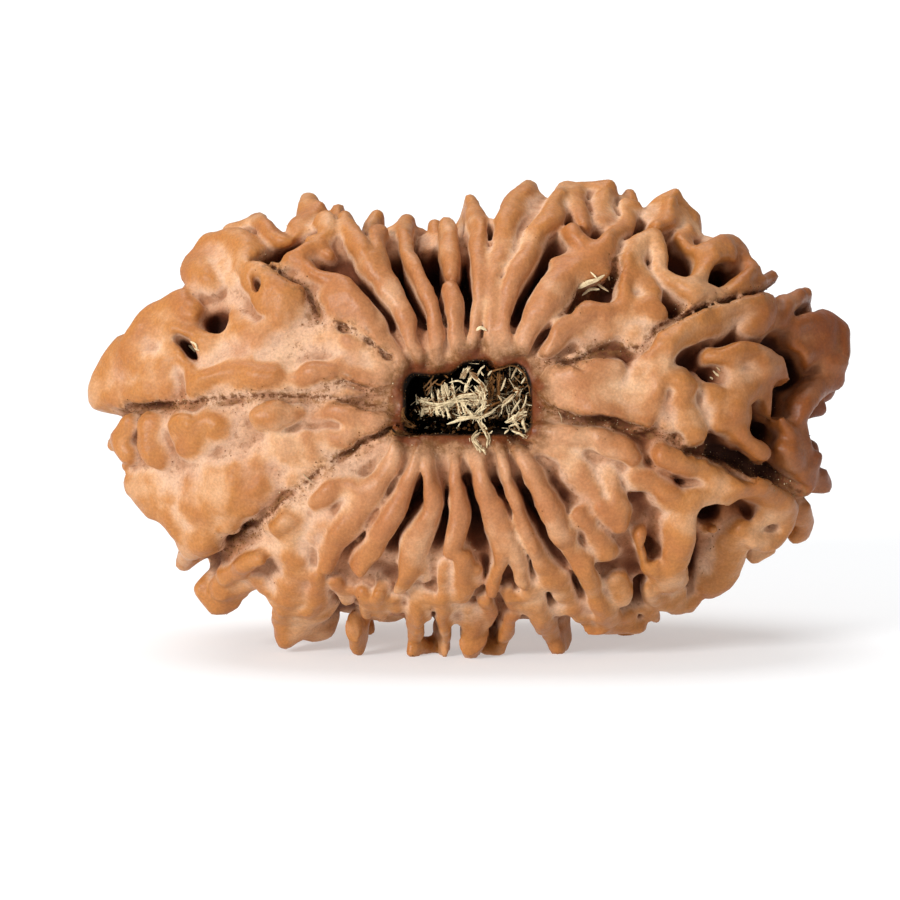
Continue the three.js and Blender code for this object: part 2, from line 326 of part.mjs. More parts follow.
// How ridges meet the skin: depth of their walls, fillet at their foot and how much they widen with depth.
const LEFT_LOBE = { deep: 2.0, fillet: 0.5, widen: 0.12 };
const RIGHT_LOBE = { deep: 2.8, fillet: 0.4, widen: 0.12 };
const FIN = { deep: 2.8, fillet: 0.3, widen: 0.05 };
const OVER_RIM = { deep: 1.6, fillet: 0.4, widen: 0.15 };
const CREVICE = { narrowest: 0.24, fillet: 0.5, widen: 0.15, reach: 3.0 };
const HOLLOW_FILLET = 0.5;

// Pits go nearly straight back, not square to the skin.
const PIT_STRAIGHT = 1.5;

const HOLE_ROUND = 0.45;

// Ridges run from pole to pole, so the back repeats those of the front, a little smaller and redrawn.
const BACK_X = 0.96;
const BACK_Z = 0.92;
const BACK_JITTER = 0.5;
const BACK_SKIP = 0.2;
const BACK_WIDEN = 1.1;

// The rim: every ridge that ends on the outline is carried over to the back, with low ones between.
const RIM_REACH = 3.4;
const RIM_SHARE = 0.92;
const RIM_DIP = 1.1;
const LOW_RIDGES = 36;
const LOW_SINK = 1.6;

// Facet sizes of the finished solids.
const SEED_CELL = 0.3;
const SEED_TRIANGLES = 11800;
const SHORTEST_EDGE = 0.02;
const THINNEST_FACET = 0.04;
const SHARPEST_TURN = 0.4;
const FRONT_CARE = 20;
const FOOT_CARE = 2000;
const FOOT_ZONE = 0.2;
const CORE_CELL = 0.17;
const CORE_TRIANGLES = 2600;

function clamp(value, low, high) {
  return Math.min(Math.max(value, low), high);
}

function smoothMin(a, b, fillet) {
  const h = Math.max(fillet - Math.abs(a - b), 0) / fillet;
  return Math.min(a, b) - h * h * fillet * 0.25;
}

function smoothMax(a, b, fillet) {
  return -smoothMin(-a, -b, fillet);
}

function fraction(value) {
  return value - Math.floor(value);
}

// A repeatable draw between 0 and 1.
function draw(index) {
  return fraction(Math.sin(index * 12.9898 + 4.1414) * 43758.5453);
}

// Smooth wobble between about -1 and 1, made of five crossing waves.
function makeWaves(length, seed) {
  const waves = [];
  for (let i = 0; i < 5; i++) {
    const turn = i * 2.4 + seed * 1.7;
    const up = 2 * fraction(i * 0.618 + seed * 0.37) - 1;
    const flat = Math.sqrt(1 - up * up);
    const k = ((2 * Math.PI) / length) * (0.75 + 0.55 * fraction(i * 0.754 + seed * 0.21));
    const phase = 2 * Math.PI * fraction(i * 0.529 + seed * 0.113);
    waves.push([k * flat * Math.cos(turn), k * flat * Math.sin(turn), k * up, phase]);
  }
  return (x, y, z) => {
    let sum = 0;
    for (const [a, b, c, phase] of waves) {
      sum += Math.sin(a * x + b * y + c * z + phase);
    }
    return sum * 0.32;
  };
}

function halfHeight(x, z) {
  if (z <= 0) return HALF_BOTTOM;
  return HALF_TOP - SADDLE_DROP * Math.exp(-(((x - SADDLE_X) / SADDLE_WIDTH) ** 2));
}

// 0 at the pole axis, 1 on the crest outline of the face.
function outlineShare(x, z) {
  const u = Math.abs(x) / HALF_LENGTH;
  const v = Math.abs(z) / halfHeight(x, z);
  return (u ** ROUNDNESS + v ** ROUNDNESS) ** (1 / ROUNDNESS);
}

// How far the face sinks towards the hole.
function dimple(x, z) {
  const u = (x - HOLE_X) / DIMPLE_X;
  const v = (z - HOLE_Z) / DIMPLE_Z;
  return DIMPLE_DEPTH * Math.exp(-(u * u) - v * v);
}

// Depth of the crests over a point of the front face: y of the crest surface.
function crestY(x, z, rimShare) {
  const share = Math.min(outlineShare(x, z), rimShare);
  const dome = HALF_THICKNESS * (1 - share ** ROUNDNESS) ** (1 / ROUNDNESS);
  return dimple(x, z) - dome;
}

function inwardAt(point) {
  const height = halfHeight(point.x, point.z);
  return new THREE.Vector3(
    -point.x / HALF_LENGTH ** 2,
    -point.y / HALF_THICKNESS ** 2,
    -point.z / height ** 2,
  ).normalize();
}

// Where the slots between the fins end by the hole, and how ridges rise and swell along their way.
const raggedEnds = makeWaves(1.7, 41);
const riseWave = makeWaves(2.8, 51);
const swellWave = makeWaves(1.6, 52);

// 1 in the two zones of tall thin fins above and below the hole, 0 among the lobes.
function finZone(x, z) {
  const half = (x > 0 ? 3.7 : 4.2) + 0.25 * Math.abs(z);
  const across = Math.exp(-((Math.abs(x + 0.2) / half) ** 4));
  const start = (z > 0 ? 2.9 : 3.4) - 0.35 * raggedEnds(x, 0, z);
  const near = clamp((Math.abs(z - HOLE_Z) - start) / 0.7, 0, 1);
  const far = z > 0 ? clamp((9.5 - z) / 3, 0.15, 1) : clamp((z + 8.5) / 2, 0, 1);
  return across * near * far;
}

function valleyDepth(x, y, z) {
  const left = clamp((-x - 3) / 4, 0, 1);
  const right = clamp((x - 5) / 5, 0, 1);
  const sole = z < 0 ? Math.exp(-((x / 7.5) ** 4)) : 0;
  const rim = Math.exp(-((y / 4.5) ** 2)) * (1 - SOLE_SHARE * sole);
  const lip = Math.exp(-(((x - HOLE_X) / 3.4) ** 4) - ((z - HOLE_Z) / 3.3) ** 4);
  const low = Math.exp(-(((z + 10.5) / 1.7) ** 2) - (x / 7.5) ** 4);
  const fill = SOLE_FILL * low - (SOLE_FILL + SOLE_BACK) * low * clamp((y - 0.5) / 2, 0, 1);
  const extra = FIN_SLOT * finZone(x, z) + LEFT_EXTRA * left + RIGHT_EXTRA * right + RIM_EXTRA * rim;
  return VALLEY + extra - LIP * lip - fill;
}

// A smooth line through a few points [x, z, half width, sink], three steps to each stretch.
function smoothLine(points) {
  const full = points.map((p) => [p[0], p[1], p[2], p[3] ?? 0]);
  if (full.length === 1) {
    full.push([full[0][0] + 0.01, ...full[0].slice(1)]);
  }
  const last = full.length - 1;
  const before = full[0].map((v, i) => 2 * v - full[1][i]);
  const after = full[last].map((v, i) => 2 * v - full[last - 1][i]);
  const all = [before, ...full, after];
  const line = [];
  for (let i = 1; i < all.length - 2; i++) {
    for (const t of [0, 1 / 3, 2 / 3]) {
      line.push(all[i].map((b, j) => {
        const a = all[i - 1][j];
        const c = all[i + 1][j];
        const d = all[i + 2][j];
        const bend = 2 * a - 5 * b + 4 * c - d;
        const twist = 3 * b - a - 3 * c + d;
        return 0.5 * (2 * b + (c - a) * t + bend * t * t + twist * t * t * t);
      }));
    }
  }
  line.push(full[last]);
  return line;
}

// Puts a line of the face on the crest surface, each half width deeper so that its top touches it.
function onCrest(points, rimShare = FRONT_RIM) {
  return smoothLine(points).map(([x, z, width, depth]) => {
    const r = width * (1 + RIDGE_SWELL * swellWave(x, 0, z));
    const sink = depth + RIDGE_RISE * riseWave(x, 0, z);
    const at = new THREE.Vector3(x, crestY(x, z, rimShare) + r + sink, z);
    return { at, r, inward: inwardAt(at) };
  });
}

function toBack(sweep) {
  return sweep.map(({ at, r, inward }) => ({
    at: new THREE.Vector3(at.x, -at.y, at.z),
    r,
    inward: new THREE.Vector3(inward.x, -inward.y, inward.z),
  }));
}

// Distance to a rounded wall that hangs from the stretch a-b down to `deep` along the inward way.
function wall(a, b, shallow, deep, widen) {
  const along = b.at.clone().sub(a.at);
  const length = Math.max(along.length(), 1e-4);
  along.divideScalar(length);
  const down = a.inward.clone().add(b.inward);
  down.addScaledVector(along, -down.dot(along)).normalize();
  const grow = b.r - a.r;
  return (x, y, z) => {
    const px = x - a.at.x;
    const py = y - a.at.y;
    const pz = z - a.at.z;
    const t = clamp((px * along.x + py * along.y + pz * along.z) / length, 0, 1);
    const s = clamp(px * down.x + py * down.y + pz * down.z, shallow, deep);
    const l = t * length;
    const dx = px - l * along.x - s * down.x;
    const dy = py - l * along.y - s * down.y;
    const dz = pz - l * along.z - s * down.z;
    const r = (a.r + grow * t) * (1 + widen * Math.max(s, 0));
    return Math.sqrt(dx * dx + dy * dy + dz * dz) - r;
  };
}

// Samples of a solid's distance field over a box: below zero is inside.
class Field {
  constructor(low, high, cell) {
    this.low = low;
    this.cell = cell;
    this.count = high.map((v, i) => Math.ceil((v - low[i]) / cell) + 1);
    this.values = new Float32Array(this.count[0] * this.count[1] * this.count[2]);
    this.values.fill(10);
    this.bent = null;
  }

  // Changes every sample within the box low-high by change(value, x, y, z).
  each(low, high, change) {
    const { cell, count, values, bent } = this;
    const start = low.map((v, i) => Math.max(Math.floor((v - this.low[i]) / cell), 0));
    const end = high.map((v, i) => Math.min(Math.ceil((v - this.low[i]) / cell), count[i] - 1));
    for (let k = start[2]; k <= end[2]; k++) {
      for (let j = start[1]; j <= end[1]; j++) {
        for (let i = start[0]; i <= end[0]; i++) {
          const index = i + count[0] * (j + count[1] * k);
          const x = bent ? bent[3 * index] : this.low[0] + i * cell;
          const y = bent ? bent[3 * index + 1] : this.low[1] + j * cell;
          const z = bent ? bent[3 * index + 2] : this.low[2] + k * cell;
          values[index] = change(values[index], x, y, z);
        }
      }
    }
  }

  all(change) {
    const high = this.count.map((n, i) => this.low[i] + n * this.cell);
    this.each(this.low, high, change);
  }

  // Bends the space of the shapes that are added later, for uneven, grown forms.
  setBend(bend) {
    const bent = new Float32Array(this.values.length * 3);
    let index = 0;
    for (let k = 0; k < this.count[2]; k++) {
      for (let j = 0; j < this.count[1]; j++) {
        for (let i = 0; i < this.count[0]; i++) {
          const x = this.low[0] + i * this.cell;
          const y = this.low[1] + j * this.cell;
          const z = this.low[2] + k * this.cell;
          bent.set(bend(x, y, z), 3 * index);
          index++;
        }
      }
    }
    this.bent = bent;
  }

  // Adds a sweep, or cuts it out, with walls from depth `shallow` to `deep` under its line.
  sweep(line, { shallow = 0, deep, widen, fillet, cut = false }) {
    const reach = Math.max(...line.map((p) => p.r)) * (1 + widen * deep) + fillet + 0.6;
    const box = new THREE.Box3();
    for (const { at, inward } of line) {
      box.expandByPoint(at.clone().addScaledVector(inward, shallow));
      box.expandByPoint(at.clone().addScaledVector(inward, deep));
    }
    box.expandByScalar(reach);
    const walls = [];
    for (let i = 0; i < line.length - 1; i++) {
      walls.push(wall(line[i], line[i + 1], shallow, deep, widen));
    }
    this.each(box.min.toArray(), box.max.toArray(), (value, x, y, z) => {
      let nearest = Infinity;
      for (const distance of walls) {
        nearest = Math.min(nearest, distance(x, y, z));
      }
      return cut ? smoothMax(value, -nearest, fillet) : smoothMin(value, nearest, fillet);
    });
  }

  // Cuts an oval pit into the face: [x, z, half sizes, turn in degrees, depth].
  pit([x, z, halfU, halfV, turn, depth], back) {
    const at = new THREE.Vector3(x, crestY(x, z, FRONT_RIM), z);
    const inward = inwardAt(at);
    inward.y += PIT_STRAIGHT;
    inward.normalize();
    if (back) {
      at.y *= -1;
      inward.y *= -1;
    }
    at.addScaledVector(inward, depth * 0.35);
    const angle = THREE.MathUtils.degToRad(turn);
    const u = new THREE.Vector3(Math.cos(angle), 0, Math.sin(angle));
    u.addScaledVector(inward, -u.dot(inward)).normalize();
    const v = inward.clone().cross(u);
    const reach = Math.max(halfU, halfV, depth) * 1.3 + HOLLOW_FILLET;
    const low = at.toArray().map((c) => c - reach);
    const high = at.toArray().map((c) => c + reach);
    const narrow = Math.min(halfU, halfV);
    const p = new THREE.Vector3();
    this.each(low, high, (value, px, py, pz) => {
      p.set(px, py, pz).sub(at);
      const q = Math.hypot(p.dot(u) / halfU, p.dot(v) / halfV, p.dot(inward) / (depth * 0.75));
      return smoothMax(value, -(q - 1) * narrow, HOLLOW_FILLET);
    });
  }
}

// The fleshy skin under the ridges.
function addSkin(field) {
  const broad = makeWaves(4.5, 3);
  const small = makeWaves(2.2, 5);
  const form = (x, y, z) => {
    const share = outlineShare(x, z);
    return (share ** ROUNDNESS + (Math.abs(y) / HALF_THICKNESS) ** ROUNDNESS) ** (1 / ROUNDNESS);
  };
  const step = 0.05;
  field.all((value, x, y, z) => {
    const here = form(x, y, z);
    const slope = Math.hypot(
      form(x + step, y, z) - form(x - step, y, z),
      form(x, y + step, z) - form(x, y - step, z),
      form(x, y, z + step) - form(x, y, z - step),
    ) / (2 * step);
    const lumps = SKIN_SWELL * broad(x, y, z) + SKIN_LUMPS * small(x, y, z);
    const wobble = lumps * (1 - 0.7 * finZone(x, z));
    const sunk = dimple(x, z) * clamp(Math.abs(y) / 6, 0, 1);
    return (here - 1) / (slope + 1e-6) + sunk + valleyDepth(x, y, z) + wobble;
  });
}

// The same ridge redrawn for the back: nudged, a little smaller, some of them left out.
function backRidge(points, index) {
  return points.map(([x, z, r, sink], i) => {
    const nudge = (k) => BACK_JITTER * (draw(index * 31 + i * 7 + k) - 0.5);
    return [x * BACK_X + nudge(1), z * BACK_Z + nudge(2), r * BACK_WIDEN, sink];
  });
}

function addRidges(field, ridges, kind, firstIndex) {
  ridges.forEach((points, i) => {
    field.sweep(onCrest(points), kind);
    const index = firstIndex + i;
    if (draw(index) > BACK_SKIP) {
      const line = onCrest(backRidge(points, index), BACK_RIM);
      field.sweep(toBack(line), kind);
    }
  });
}

// A ridge over the rim at one place of the outline, `sink` deep at its ends and `dip` deeper halfway.
function rimRidge(x, z, r, sink, dip, seedIndex) {
  const lean = 0.05 * (draw(seedIndex) - 0.5);
  return [-1, -0.5, 0, 0.5, 1].map((t) => {
    const back = (t + 1) / 2;
    const px = x * (1 + (BACK_X - 1) * back) - lean * t * z;
    const pz = z * (1 + (BACK_Z - 1) * back) + lean * t * x;
    const at = new THREE.Vector3(px, RIM_REACH * t, pz);
    const inward = inwardAt(at);
    const depth = sink + dip * (1 - t * t) * (0.6 + 0.8 * draw(seedIndex + t + 9));
    at.addScaledVector(inward, depth + r);
    return { at, r, inward };
  });
}

function addRimRidges(field, ridges) {
  for (let i = 0; i < LOW_RIDGES; i++) {
    const angle = (2 * Math.PI * (i + 0.7 * draw(i + 500))) / LOW_RIDGES;
    const share = 1 / outlineShare(Math.cos(angle), Math.sin(angle));
    const r = 0.45 + 0.3 * draw(i + 700);
    const line = rimRidge(share * Math.cos(angle), share * Math.sin(angle), r, LOW_SINK, 0, i + 800);
    field.sweep(line, OVER_RIM);
  }
  ridges.forEach((points, i) => {
    const reach = ([x, z]) => outlineShare(x, z);
    const [x, z, r] = [...points].sort((p, q) => reach(q) - reach(p))[0];
    if (reach([x, z]) < RIM_SHARE) return;
    field.sweep(rimRidge(x, z, 0.9 * r, 0.15, RIM_DIP, i + 300), OVER_RIM);
  });
}

// Short spines at the back of the lower rim, just long enough to reach the floor.
function addBackFeet(field) {
  for (const [x, y] of BACK_FEET) {
    const tip = (FOOT_LEVEL - 0.4 + y * Math.sin(-LEAN)) / Math.cos(LEAN);
    const inward = inwardAt(new THREE.Vector3(x, y, tip));
    const line = [[0, 0.45], [1.2, 0.55], [3.4, 0.75]].map(([up, r]) => ({
      at: new THREE.Vector3(x * (1 - 0.01 * up), y, tip + r + up),
      r,
      inward,
    }));
    field.sweep(line, { deep: 0.1, fillet: 0.4, widen: 0 });
  }
}

function cutSeams(field) {
  const { fillet, widen, reach } = CREVICE;
  for (const points of SEAMS) {
    const line = smoothLine(points).map(([x, z, width, depth]) => {
      const r = Math.max(width, CREVICE.narrowest);
      const at = new THREE.Vector3(x, crestY(x, z, FRONT_RIM), z);
      const inward = inwardAt(at);
      at.addScaledVector(inward, depth);
      return { at, r, inward: inward.clone().negate() };
    });
    field.sweep(line, { deep: reach, fillet, widen, cut: true });
    field.sweep(toBack(line), { deep: reach, fillet, widen, cut: true });
  }
}

function cutPits(field) {
  PITS.forEach((pit, i) => {
    field.pit(pit, false);
    if (draw(i + 900) > 0.4) field.pit(pit, true);
  });
}

// The hole from pole to pole: an oblong mouth on both faces, narrower in the middle.
function cutHole(field) {
  const uneven = makeWaves(2.6, 11);
  field.all((value, x, y, z) => {
    const open = clamp(Math.abs(y) / HOLE_FLARE, 0, 1);
    const wave = 0.12 * uneven(x, y, z);
    const halfX = HOLE_NECK_X + (HOLE_MOUTH_X - HOLE_NECK_X) * open + wave;
    const halfZ = HOLE_NECK_Z + (HOLE_MOUTH_Z - HOLE_NECK_Z) * open + wave;
    const u = Math.abs(x - HOLE_X) - halfX + HOLE_CORNER;
    const v = Math.abs(z - HOLE_Z) - halfZ + HOLE_CORNER;
    const outside = Math.hypot(Math.max(u, 0), Math.max(v, 0));
    const distance = outside + Math.min(Math.max(u, v), 0) - HOLE_CORNER;
    return smoothMax(value, -distance, HOLE_ROUND);
  });
}

function seedField() {
  const field = new Field([-21.5, -13.5, -14.5], [21.5, 13.5, 13.5], SEED_CELL);
  const drift = [0, 1, 2].map((axis) => makeWaves(3.0, 20 + axis));
  const ripple = [0, 1, 2].map((axis) => makeWaves(1.4, 30 + axis));
  field.setBend((x, y, z) => {
    const calm = 1 - 0.75 * finZone(x, z);
    const shift = (axis) => calm * (0.17 * drift[axis](x, y, z) + 0.05 * ripple[axis](x, y, z));
    return [x + shift(0), y + shift(1), z + shift(2)];
  });
  addSkin(field);
  addRimRidges(field, [...LEFT_LOBES, ...RIGHT_LOBES, ...FINS]);
  addBackFeet(field);
  addRidges(field, LEFT_LOBES, LEFT_LOBE, 0);
  addRidges(field, RIGHT_LOBES, RIGHT_LOBE, LEFT_LOBES.length);
  addRidges(field, FINS, FIN, 200);
  cutSeams(field);
  cutPits(field);
  cutHole(field);
  return field;
}

// A clump of dry fibres: a small uneven heart and short bent strands that cross over it.
function coreField() {
  const [sizeX, sizeY, sizeZ] = CORE_HALF;
  const field = new Field([-3.6, -2.4, -2.2], [3.6, 2.4, 2.2], CORE_CELL);
  const lumps = makeWaves(1.5, 41);
  field.all((value, x, y, z) => {
    const q = Math.hypot(x / (sizeX * 0.8), (y - 0.35) / (sizeY * 0.62), z / (sizeZ * 0.78));
    return (q - 1) * sizeZ * 0.7 + 0.22 * lumps(x, y, z);
  });
  for (let i = 0; i < CORE_STRANDS; i++) {
    const x = sizeX * 0.78 * (2 * draw(i + 10) - 1);
    const z = sizeZ * 0.62 * (2 * draw(i + 40) - 1);
    const turn = i % 3 === 0 ? 1.2 + draw(i + 70) : 0.7 * (2 * draw(i + 70) - 1);
    const half = 0.5 + 0.7 * draw(i + 100);
    const lift = 0.5 * (2 * draw(i + 130) - 1);
    const line = [-1, -0.3, 0.4, 1].map((t) => {
      const px = clamp(x + half * t * Math.cos(turn), -sizeX + 0.15, sizeX - 0.15);
      const pz = clamp(z + half * t * Math.sin(turn), -sizeZ + 0.15, sizeZ - 0.15);
      const py = -sizeY * 0.55 + 0.35 * t * t + lift * t + 0.5 * draw(i + 160);
      return { at: new THREE.Vector3(px, py, pz), r: 0.15, inward: new THREE.Vector3(0, 1, 0) };
    });
    field.sweep(line, { deep: 0.25, fillet: 0.15, widen: 0 });
  }
  return field;
}

// Corners of a cell and the twelve edges between them.
const CORNERS = [0, 1, 2, 3, 4, 5, 6, 7].map((bits) => [bits & 1, (bits >> 1) & 1, (bits >> 2) & 1]);
const EDGES = CORNERS.flatMap((_, a) => [1, 2, 4].filter((bit) => !(a & bit)).map((bit) => [a, a | bit]));

// Fills samples where the surface would touch itself along an edge or at a corner of the cells.
function closePinches({ count, values, cell }) {
  const strides = [1, count[0], count[0] * count[1]];
  const offsets = CORNERS.map((corner) => corner.reduce((sum, on, axis) => sum + on * strides[axis], 0));
  const squares = [[0, 1, 3, 2], [0, 2, 6, 4], [0, 4, 5, 1]];
  const filled = -0.05 * cell;
  const isIn = (index) => values[index] < 0;
  let changed = true;
  while (changed) {
    changed = false;
    const last = values.length - offsets[7];
    for (let base = 0; base < last; base++) {
      for (const square of squares) {
        const [a, b, c, d] = square.map((corner) => base + offsets[corner]);
        if (isIn(a) !== isIn(c) || isIn(b) !== isIn(d) || isIn(a) === isIn(b)) continue;
        const open = isIn(a) ? [b, d] : [a, c];
        values[values[open[0]] < values[open[1]] ? open[0] : open[1]] = filled;
        changed = true;
      }
      const inside = [0, 1, 2, 3, 4, 5, 6, 7].filter((corner) => isIn(base + offsets[corner]));
      if (inside.length === 2 && inside[0] + inside[1] === 7) {
        values[base + offsets[inside[0] ^ 1]] = filled;
        changed = true;
      }
      const outside = [0, 1, 2, 3, 4, 5, 6, 7].filter((corner) => !inside.includes(corner));
      if (outside.length === 2 && outside[0] + outside[1] === 7) {
        values[base + offsets[outside[0]]] = filled;
        changed = true;
      }
    }
  }
}

// One point in each cell that the surface crosses, and a square for each crossed edge of the grid.
function surfaceOf(field) {
  closePinches(field);
  const { count, values, low, cell } = field;
  const strides = [1, count[0], count[0] * count[1]];
  const offsets = CORNERS.map((corner) => corner.reduce((sum, on, axis) => sum + on * strides[axis], 0));
  const pointOf = new Int32Array(values.length).fill(-1);
  const positions = [];
  for (let k = 0; k < count[2] - 1; k++) {
    for (let j = 0; j < count[1] - 1; j++) {
      for (let i = 0; i < count[0] - 1; i++) {
        const base = i + count[0] * (j + count[1] * k);
        const at = [0, 0, 0];
        let crossings = 0;
        for (const [a, b] of EDGES) {
          const va = values[base + offsets[a]];
          const vb = values[base + offsets[b]];
          if (va < 0 === vb < 0) continue;
          const t = clamp(va / (va - vb), 0.12, 0.88);
          at.forEach((_, axis) => {
            at[axis] += CORNERS[a][axis] + t * (CORNERS[b][axis] - CORNERS[a][axis]);
          });
          crossings++;
        }
        if (!crossings) continue;
        pointOf[base] = positions.length / 3;
        [i, j, k].forEach((n, axis) => positions.push(low[axis] + cell * (n + at[axis] / crossings)));
      }
    }
  }

  const faces = [];
  const pointAt = (v) => new THREE.Vector3().fromArray(positions, 3 * v);
  const gap = (v, w) => pointAt(v).distanceToSquared(pointAt(w));
  for (let base = 0; base < values.length; base++) {
    if (pointOf[base] < 0) continue;
    for (let axis = 0; axis < 3; axis++) {
      const here = values[base] < 0;
      if (here === values[base + strides[axis]] < 0) continue;
      const u = strides[(axis + 1) % 3];
      const v = strides[(axis + 2) % 3];
      const ring = [base, base - u, base - u - v, base - v].map((index) => pointOf[index]);
      if (!here) ring.reverse();
      const [a, b, c, d] = ring;
      if (gap(a, c) < gap(b, d)) faces.push([a, b, c], [a, c, d]);
      else faces.push([a, b, d], [b, c, d]);
    }
  }
  return largestPiece(positions, faces);
}

// Drops every crumb that isn't joined to the main surface.
function largestPiece(positions, faces) {
  const parent = Array.from({ length: positions.length / 3 }, (_, i) => i);
  const find = (v) => {
    while (parent[v] !== v) {
      parent[v] = parent[parent[v]];
      v = parent[v];
    }
    return v;
  };
  for (const [a, b, c] of faces) {
    parent[find(a)] = find(b);
    parent[find(b)] = find(c);
  }
  const sizes = new Map();
  for (const [a] of faces) {
    const root = find(a);
    sizes.set(root, (sizes.get(root) ?? 0) + 1);
  }
  const [main] = [...sizes].sort((p, q) => q[1] - p[1])[0];
  return { positions, faces: faces.filter(([a]) => find(a) === main) };
}

// A binary heap of edges, cheapest first.
class Queue {
  constructor() {
    this.items = [];
  }

  push(item) {
    const { items } = this;
    let i = items.length;
    items.push(item);
    while (i > 0) {
      const up = (i - 1) >> 1;
      if (items[up].cost <= item.cost) break;
      items[i] = items[up];
      i = up;
    }
    items[i] = item;
  }

  pop() {
    const { items } = this;
    const top = items[0];
    const item = items.pop();
    if (!items.length) return top;
    let i = 0;
    for (;;) {
      let down = 2 * i + 1;
      if (down >= items.length) break;
      if (down + 1 < items.length && items[down + 1].cost < items[down].cost) down++;
      if (items[down].cost >= item.cost) break;
      items[i] = items[down];
      i = down;
    }
    items[i] = item;
    return top;
  }
}

// Merges the edges that change the form least until `target` triangles are left.
function simplify({ positions, faces: source }, target, weightAt) {
  const faces = [...source];
  const points = [];
  for (let i = 0; i < positions.length; i += 3) {
    points.push(new THREE.Vector3(positions[i], positions[i + 1], positions[i + 2]));
  }
  const around = points.map(() => new Set());
  faces.forEach((face, f) => face.forEach((v) => around[v].add(f)));
  const quadrics = points.map(() => new Float64Array(10));
  const normalOf = (a, b, c) => b.clone().sub(a).cross(c.clone().sub(a));
  for (const face of faces) {
    const [a, b, c] = face.map((v) => points[v]);
    const normal = normalOf(a, b, c);
    const area = normal.length() / 2;
    normal.normalize();
    const n = [normal.x, normal.y, normal.z, -normal.dot(a)];
    const weight = area * weightAt(a);
    face.forEach((v) => {
      let slot = 0;
      for (let i = 0; i < 4; i++) {
        for (let j = i; j < 4; j++) {
          quadrics[v][slot] += weight * n[i] * n[j];
          slot++;
        }
      }
    });
  }
  const errorAt = (q, p) =>
    q[0] * p.x * p.x + 2 * q[1] * p.x * p.y + 2 * q[2] * p.x * p.z + 2 * q[3] * p.x +
    q[4] * p.y * p.y + 2 * q[5] * p.y * p.z + 2 * q[6] * p.y +
    q[7] * p.z * p.z + 2 * q[8] * p.z + q[9];
  const bestPoint = (q, a, b) => {
    const middle = a.clone().add(b).multiplyScalar(0.5);
    const matrix = new THREE.Matrix3().set(q[0], q[1], q[2], q[1], q[4], q[5], q[2], q[5], q[7]);
    const size = q[0] + q[4] + q[7];
    if (matrix.determinant() > 1e-4 * size * size * size) {
      const solved = new THREE.Vector3(-q[3], -q[6], -q[8]).applyMatrix3(matrix.invert());
      if (solved.distanceTo(middle) < 1.2 * a.distanceTo(b)) return solved;
    }
    const choices = [middle, a.clone(), b.clone()];
    return choices.sort((p, r) => errorAt(q, p) - errorAt(q, r))[0];
  };
  const stamps = new Uint32Array(points.length);
  const queue = new Queue();
  const offer = (a, b) => {
    const q = quadrics[a].map((v, i) => v + quadrics[b][i]);
    const at = bestPoint(q, points[a], points[b]);
    const length = points[a].distanceTo(points[b]);
    const cost = length < SHORTEST_EDGE ? -1 : errorAt(q, at) + 1e-7 * length * length;
    queue.push({ cost, a, b, at, q, stamp: stamps[a] + stamps[b] });
  };
  const neighbours = (v) => {
    const found = new Set();
    around[v].forEach((f) => faces[f].forEach((w) => found.add(w)));
    found.delete(v);
    return found;
  };
  points.forEach((_, v) => neighbours(v).forEach((w) => w > v && offer(v, w)));

  // Whether moving v to `at` folds a triangle that stays, or makes it too thin.
  const folds = (v, gone, at, thinnest) => {
    for (const f of around[v]) {
      if (around[gone].has(f)) continue;
      const before = faces[f].map((w) => points[w]);
      const after = faces[f].map((w) => (w === v ? at : points[w]));
      const n1 = normalOf(...before);
      const n2 = normalOf(...after);
      const long = Math.max(...after.map((p, i) => p.distanceToSquared(after[(i + 1) % 3])));
      if (n2.length() < thinnest * long) return true;
      if (n1.dot(n2) < SHARPEST_TURN * n1.length() * n2.length()) return true;
    }
    return false;
  };

  let left = faces.length;
  for (;;) {
    const edge = queue.pop();
    if (!edge || (left <= target && edge.cost >= 0)) break;
    const { a, b, at, q, stamp } = edge;
    if (stamps[a] + stamps[b] !== stamp || !around[a].size || !around[b].size) continue;
    const nearB = neighbours(b);
    const shared = [...neighbours(a)].filter((v) => nearB.has(v));
    const thinnest = edge.cost < 0 ? 0 : THINNEST_FACET;
    if (shared.length !== 2 || folds(a, b, at, thinnest) || folds(b, a, at, thinnest)) continue;
    points[a] = at;
    quadrics[a] = q;
    for (const f of around[b]) {
      if (around[a].has(f)) {
        faces[f].forEach((v) => v !== b && around[v].delete(f));
        faces[f] = null;
        left--;
      } else {
        faces[f] = faces[f].map((v) => (v === b ? a : v));
        around[a].add(f);
      }
    }
    around[b].clear();
    stamps[a]++;
    stamps[b]++;
    neighbours(a).forEach((v) => offer(a, v));
  }
  const order = new Map();
  const kept = faces.filter(Boolean).map((face) => face.map((v) => {
    if (!order.has(v)) order.set(v, order.size);
    return order.get(v);
  }));
  return { positions: [...order.keys()].flatMap((v) => points[v].toArray()), faces: kept };
}

const wasm = await Module();
wasm.setup();

function geometryOf({ positions, faces }) {
  const geometry = new THREE.BufferGeometry();
  geometry.setAttribute("position", new THREE.Float32BufferAttribute(positions, 3));
  geometry.setIndex(faces.flat());
  return geometry;
}

function solidOf(geometry) {
  const bare = new THREE.BufferGeometry();
  bare.setAttribute("position", geometry.getAttribute("position"));
  bare.setIndex(geometry.index);
  const merged = mergeVertices(bare, 1e-5);
  const vertProperties = new Float32Array(merged.attributes.position.array);
  const triVerts = new Uint32Array(merged.index.array);
  return new wasm.Manifold(new wasm.Mesh({ numProp: 3, vertProperties, triVerts }));
}

function surfaceOfSolid(solid) {
  const { vertProperties, triVerts } = solid.getMesh();
  const faces = [];
  for (let i = 0; i < triVerts.length; i += 3) {
    faces.push([triVerts[i], triVerts[i + 1], triVerts[i + 2]]);
  }
  return { positions: Array.from(vertProperties), faces };
}

